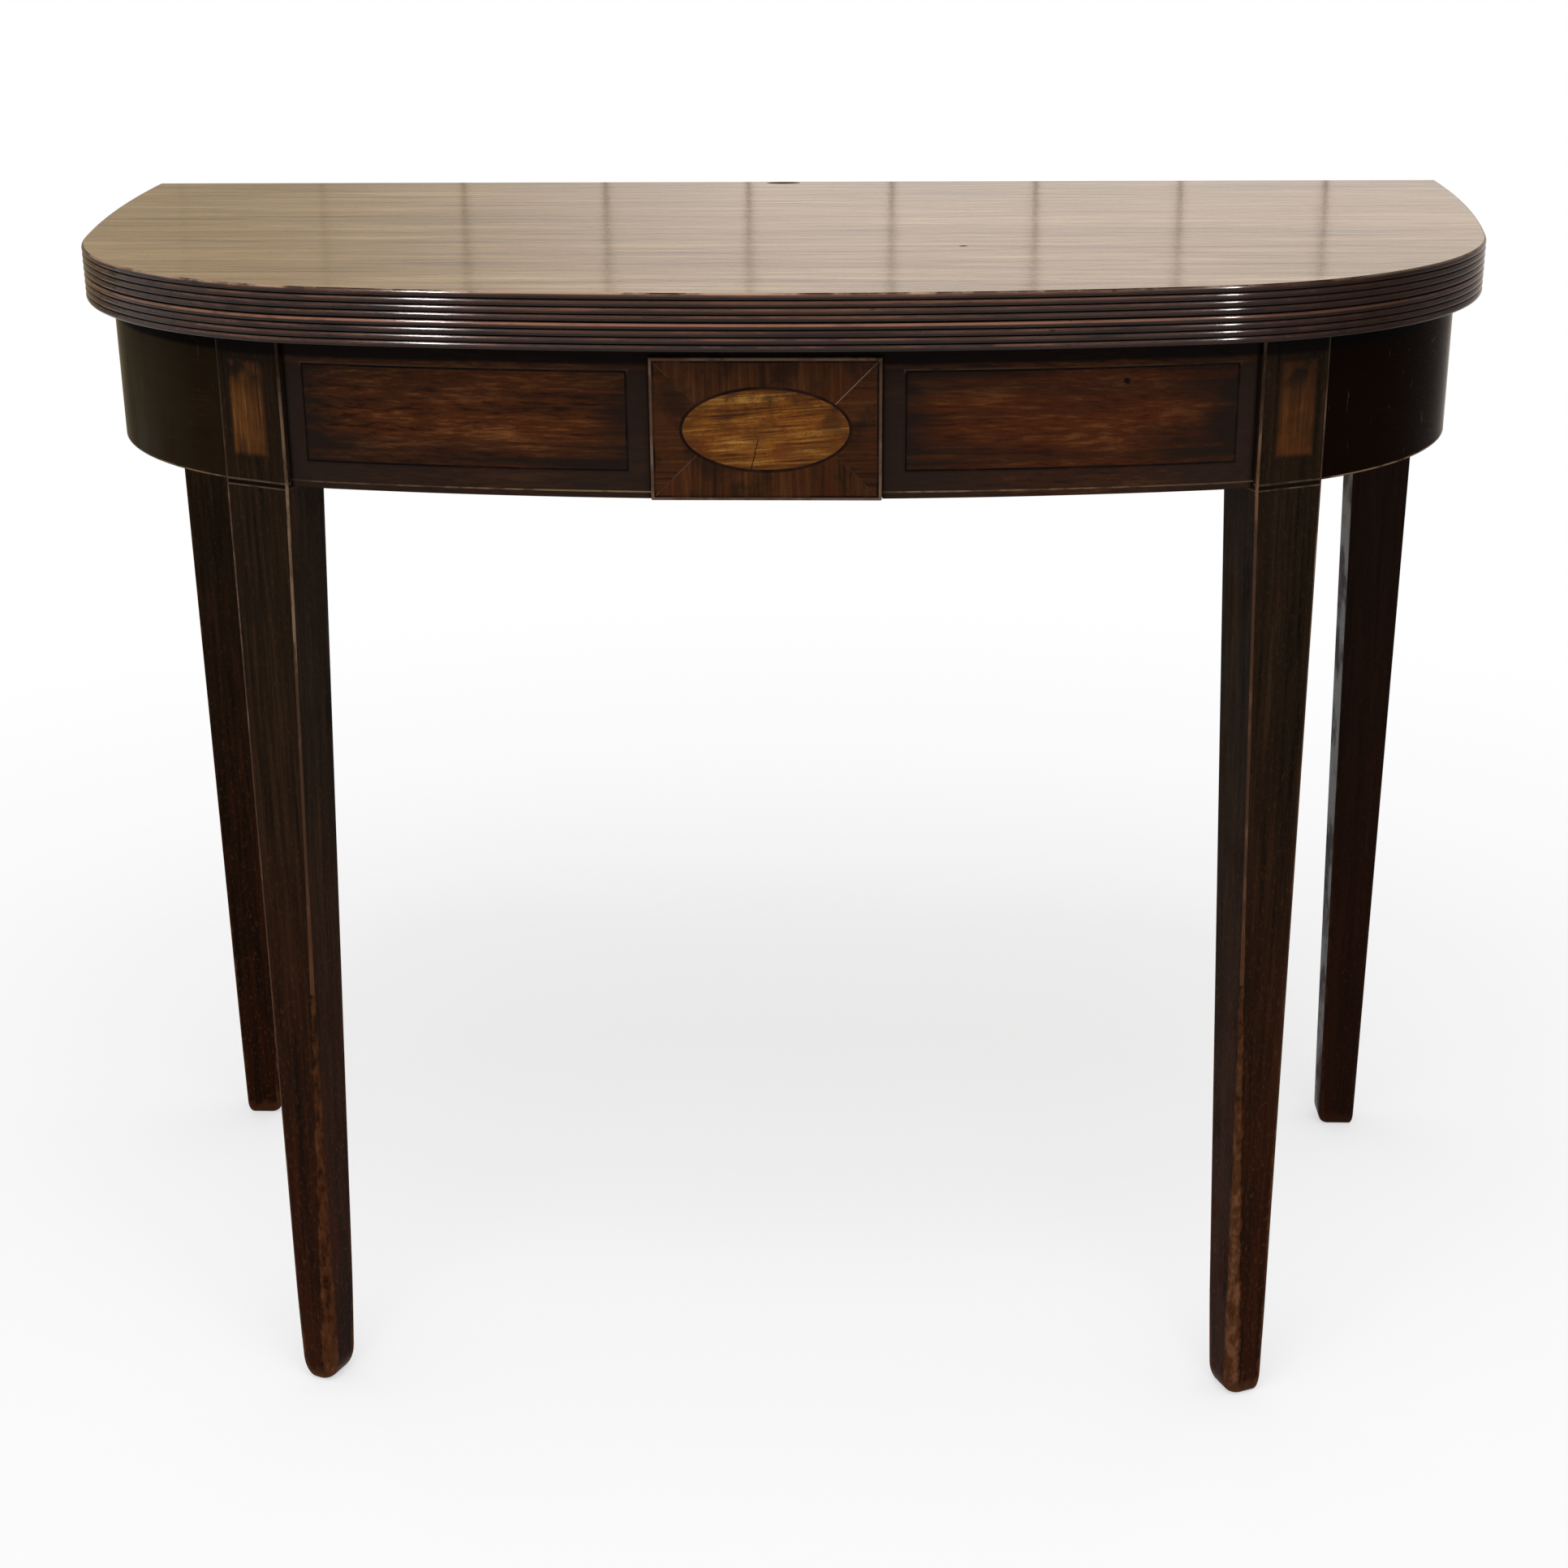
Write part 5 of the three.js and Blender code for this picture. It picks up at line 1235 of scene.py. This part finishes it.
def reed_finish():
    """Reeds rubbed, with a painted sheen, on their upper shoulders, black between with grime and painted shade that
    darkens their lower halves, with a coat that gleams on their crests.
    """
    material, tree, shader = new_finish("reeded edge", Specular_IOR_Level=0.025, Coat_Roughness=0.11)
    place = object_place(tree)
    side, height = axis(tree, place, 0), axis(tree, place, 2)
    wood = wood_on(tree, place, REED_WOOD, 0.8, 0.4, 0.5)
    crest, upper = painted(tree, "crest"), painted(tree, "shoulder")
    patches = cloudy(tree, place, 24.0, 5.0, 0.62)
    thin = cloudy(tree, place, 60.0, 6.0, 0.7, (0.35, 1, 2.5))
    # painted sheen: a pale streak on each reed's upper shoulder, partly rubbed wear
    rubbed = times(tree, eased(tree, upper, 0.72, 1.0), eased(tree, thin, 0.46, 0.66, 0.0, 0.45))
    bared = times(tree, painted(tree, "worn"), eased(tree, upper, 0.45, 0.9), eased(tree, thin, 0.34, 0.56, 0.35, 0.95))
    # grime and painted shade: the grooves and the lower half of each reed painted near black
    grime = sums(tree, "MAXIMUM", eased(tree, crest, 0.40, 0.90, 0.98, 0.0), eased(tree, upper, 0.0, 0.75, 0.80, 0.0))
    arris = times(tree, eased(tree, height, 0.73860, 0.73950), eased(tree, patches, 0.42, 0.58, 0.05, 0.85))
    nicks = eased(tree, cloudy(tree, place, 130.0, 4.0, 0.62, (0.55, 1, 2.2)), 0.66, 0.74)
    colour = layered(
        tree, wood["Color"],
        (sums(tree, "MAXIMUM", rubbed, bared), REED_WEAR_AND_SHEEN),
        (grime, EBONY),
        (arris, ARRIS_WORN),
        (eased(tree, side, 0.10, 0.38, 0.0, 0.82), REED_SHADED),
        (eased(tree, side, -0.46, -0.24, 0.36, 0.0), REED_OLIVE),
        (nicks, EBONY))
    gleam = times(tree, eased(tree, crest, 0.35, 0.72, 0.0, 0.36), eased(tree, side, 0.22, 0.36, 1.0, 0.08),
                  eased(tree, side, -0.44, -0.34, 0.15, 1.0))
    tree.links.new(gleam, shader.inputs["Coat Weight"])
    surface(tree, shader, colour, eased(tree, thin, 0.35, 0.65, 0.07, 0.16),
            less(tree, wood["Height"], times(tree, nicks, 2.0)), 0.3, 0.00008)
    return material


aged_top = top_finish("polished top", TOP_WOOD, 0.015, 0.045, 0.00050)
inner_top = top_finish("inner face", INNER_WOOD, 0.16, 0.30, 0.00010)
reeds = reed_finish()
folding = leaf_shell("upper_leaf", FOLDING_BOTTOM, -1, [aged_top, reeds, inner_top, raw_mahogany])
width, reach, low, high = TONGUE_HOUSING
cut_away(folding, [*hinge_cutters(1, PLATE_SEATS + ARM_SEATS),
                   box_cutter(-width, width, reach, low, high),
                   hollow_cutter(DING, DING_SIZE, 8), hollow_cutter(CHIP, CHIP_SIZE, 12)])
settle(folding, "top_leaf", "top_mahogany", "folding_leaf")
fixed = leaf_shell("lower_leaf", FIXED_BOTTOM, REEDS - 1, [inner_top, reeds, raw_mahogany, raw_mahogany])
width, reach, low, high = TONGUE_MORTISE
cut_away(fixed, [*hinge_cutters(-1, PLATE_SEATS), box_cutter(-width, width, reach, low, high)])
settle(fixed, "table_frame", "top_mahogany", "fixed_leaf")

# Hinges: cast brass card-table hinges let into the ends of both leaves, so that the top folds
# over flat, each plate held by two small slotted screws. Dull yellow under brown tarnish.

BRASS = (0.420, 0.270, 0.090, 1)
BRASS_DULL = (0.150, 0.095, 0.040, 1)

brass = old_metal("old brass", (BRASS, BRASS_DULL), (120.0, 0.36, 0.66), (0.26, 0.55), 0.25, 0.0001, (600.0, 3.0))
dress([f"{part}_{hand}" for hand in ("right", "left")
       for part in ("hinge_plate_fixed", "hinge_plate_folding", "hinge_pin")], brass)
for leaf, body, seed in (("fixed", "table_frame", 3), ("folding", "top_leaf", 4)):
    ways = {f"hinge_screw_{leaf}_{i}_{hand}": (way, 0, 0) for hand, way in (("right", -1), ("left", 1)) for i in (1, 2)}
    heads = [head_of(name, way) for name, way in ways.items()]
    small = screws(f"hinge_screws_{leaf}", heads, brass, Head_Radius=0.0032, Cone=0.0018, Shank_Radius=0.0016,
                   Length=0.015, Pitch=0.0015, Slot_Width=0.0007, Slot_Depth=0.0008, Rings=60, Seed=seed)
    settle(small, body, "hinge_brass", *ways)

# Studio: a wide pale floor that runs off into a white surround, a soft key overhead that gives
# no glare, two upright strips seen only as glints on the reeds, a pale panelled wall seen only
# in the polish, and the photograph's viewpoint.

CAMERA_PLACE = Vector((0.06374, -1.62770, 0.97799))
CAMERA_YAW, CAMERA_DIP, CAMERA_ROLL = math.radians(-2.2418), math.radians(20.6477), math.radians(-0.4502)
SENSOR_WIDTH = 36
FOCAL_PIXELS, PHOTO_PIXELS = 3124.885, 1932
CAMERA_LENS = FOCAL_PIXELS / PHOTO_PIXELS * SENSOR_WIDTH
FLOOR, FLOOR_REACH, FADE, PALE = -0.0003, 40, (0.5, 1.8), 0.55
FLOOR_WHITE = (0.96, 0.96, 0.96, 1)
LAMP_TINT = (0.97, 0.96, 1.0)
WALL, WALL_REACH, WALL_FOOT, WALL_TOP = 0.90, 2.6, 0.3, 1.9
WALL_JOINT, JOINT_TOP = 0.0036, 1.25
WALL_JOINTS = [-0.6250 + 0.1400 * i for i in range(9)]
WALL_LEFT, WALL_RIGHT = (0.475, 0.383, 0.262, 1), (0.946, 0.837, 0.748, 1)
JOINT_LEFT, JOINT_RIGHT = (0.400, 0.320, 0.216, 1), (0.090, 0.075, 0.058, 1)


def pale_floor():
    """A floor that shows the table's shadow near it and runs off into plain white."""
    mesh = bpy.data.meshes.new("floor")
    corners = [(x * FLOOR_REACH, y * FLOOR_REACH, FLOOR) for x, y in ((-1, -1), (1, -1), (1, 1), (-1, 1))]
    mesh.from_pydata(corners, [], [(0, 1, 2, 3)])
    floor = on_scene("floor", mesh)
    material, tree, shader = new_finish("pale floor", Roughness=0.9, Specular_IOR_Level=0.1, Base_Color=FLOOR_WHITE)
    away = put(tree, "ShaderNodeVectorMath", {0: object_place(tree)}, operation="LENGTH").outputs["Value"]
    path = put(tree, "ShaderNodeLightPath").outputs
    seen = sums(tree, "MAXIMUM", path["Is Camera Ray"], path["Is Glossy Ray"])
    white = put(tree, "ShaderNodeEmission", {"Color": (1, 1, 1, 1), "Strength": 1.0}).outputs[0]
    both = put(tree, "ShaderNodeMixShader", {
        0: times(tree, eased(tree, away, *FADE, PALE, 1.0), seen), 1: shader.outputs[0], 2: white}).outputs[0]
    tree.links.new(both, tree.nodes["Material Output"].inputs["Surface"])
    mesh.materials.append(material)


def shop_wall():
    """A pale panelled wall behind the table, seen only in its polish."""
    mesh = bpy.data.meshes.new("wall")
    boards = [(-WALL_REACH, WALL_REACH, WALL, WALL_TOP)]
    boards += [(x - WALL_JOINT / 2, x + WALL_JOINT / 2, WALL - 0.002, JOINT_TOP) for x in WALL_JOINTS]
    points = [p for x0, x1, y, top in boards
              for p in ((x0, y, WALL_FOOT), (x1, y, WALL_FOOT), (x1, y, top), (x0, y, top))]
    mesh.from_pydata(points, [], [tuple(range(4 * i, 4 * i + 4)) for i in range(len(boards))])
    for name, left, right, ends in (("wall paint", WALL_LEFT, WALL_RIGHT, (-0.62, 0.05)),
                                    ("wall joint", JOINT_LEFT, JOINT_RIGHT, (-0.56, -0.28))):
        material = bpy.data.materials.new(name)
        material.use_nodes = True
        tree = material.node_tree
        tree.nodes.remove(tree.nodes["Principled BSDF"])
        colour = tinted(tree, eased(tree, axis(tree, object_place(tree), 0), *ends), left, right)
        light = put(tree, "ShaderNodeEmission", {"Color": colour, "Strength": 1.0}).outputs[0]
        tree.links.new(light, tree.nodes["Material Output"].inputs["Surface"])
        mesh.materials.append(material)
    mesh.polygons.foreach_set("material_index", [0] + [1] * len(WALL_JOINTS))
    wall = on_scene("wall", mesh)
    wall.visible_camera = wall.visible_diffuse = wall.visible_shadow = wall.visible_transmission = False


def white_surround(strength):
    """White to the eye and in the polish, softer as a light."""
    world = bpy.data.worlds.new("studio")
    bpy.context.scene.world = world
    world.use_nodes = True
    tree = world.node_tree
    background = tree.nodes["Background"]
    path = put(tree, "ShaderNodeLightPath").outputs
    mirrored = sums(tree, "MAXIMUM", path["Is Glossy Ray"], path["Is Transmission Ray"])
    seen = sums(tree, "MAXIMUM", path["Is Camera Ray"], mirrored)
    background.inputs["Color"].default_value = (1, 1, 1, 1)
    tree.links.new(eased(tree, seen, 0, 1, strength, 1.0), background.inputs["Strength"])


def soft_lamp(name, foot, head, aim, width, power, gloss_only):
    """A softbox from foot to head, facing the table, for gloss alone or for all but gloss."""
    foot, head, aim = Vector(foot), Vector(head), Vector(aim)
    middle = (foot + head) / 2
    back = (middle - aim).normalized()
    along = ((head - foot) - (head - foot).dot(back) * back).normalized()
    lamp = bpy.data.lights.new(name, "AREA")
    lamp.shape, lamp.size, lamp.size_y = "RECTANGLE", width, (head - foot).length
    lamp.energy, lamp.color = power, LAMP_TINT
    holder = on_scene(name, lamp)
    holder.matrix_world = Matrix.Translation(middle) @ Matrix((along.cross(back), along, back)).transposed().to_4x4()
    holder.visible_camera = False
    holder.visible_diffuse, holder.visible_glossy = not gloss_only, gloss_only


pale_floor()
shop_wall()
white_surround(0.74)
soft_lamp("key", (0, -1.75, 2.30), (0, -0.75, 2.85), (0, -0.1, 0.6), 1.7, 29, False)
soft_lamp("left strip", (-1.248, -2.445, 1.568), (-1.146, -1.650, 2.680), (-0.185, -0.224, 0.73), 0.105, 72, True)
soft_lamp("right strip", (1.549, -2.314, 1.556), (1.415, -1.650, 2.560), (0.258, -0.213, 0.73), 0.150, 78, True)

flat = math.cos(CAMERA_DIP)
look = Vector((math.sin(CAMERA_YAW) * flat, math.cos(CAMERA_YAW) * flat, -math.sin(CAMERA_DIP)))
level = Vector((math.cos(CAMERA_YAW), -math.sin(CAMERA_YAW), 0))
upward = level.cross(look)
rightward = level * math.cos(CAMERA_ROLL) + upward * math.sin(CAMERA_ROLL)
upward = upward * math.cos(CAMERA_ROLL) - level * math.sin(CAMERA_ROLL)
camera = on_scene("camera", bpy.data.cameras.new("camera"))
camera.data.lens, camera.data.sensor_width, camera.data.sensor_fit = CAMERA_LENS, SENSOR_WIDTH, "HORIZONTAL"
camera.data.clip_end = 100
camera.matrix_world = Matrix.Translation(CAMERA_PLACE) @ Matrix((rightward, upward, -look)).transposed().to_4x4()
bpy.context.scene.camera = camera
bpy.context.scene.view_settings.view_transform = "Standard"
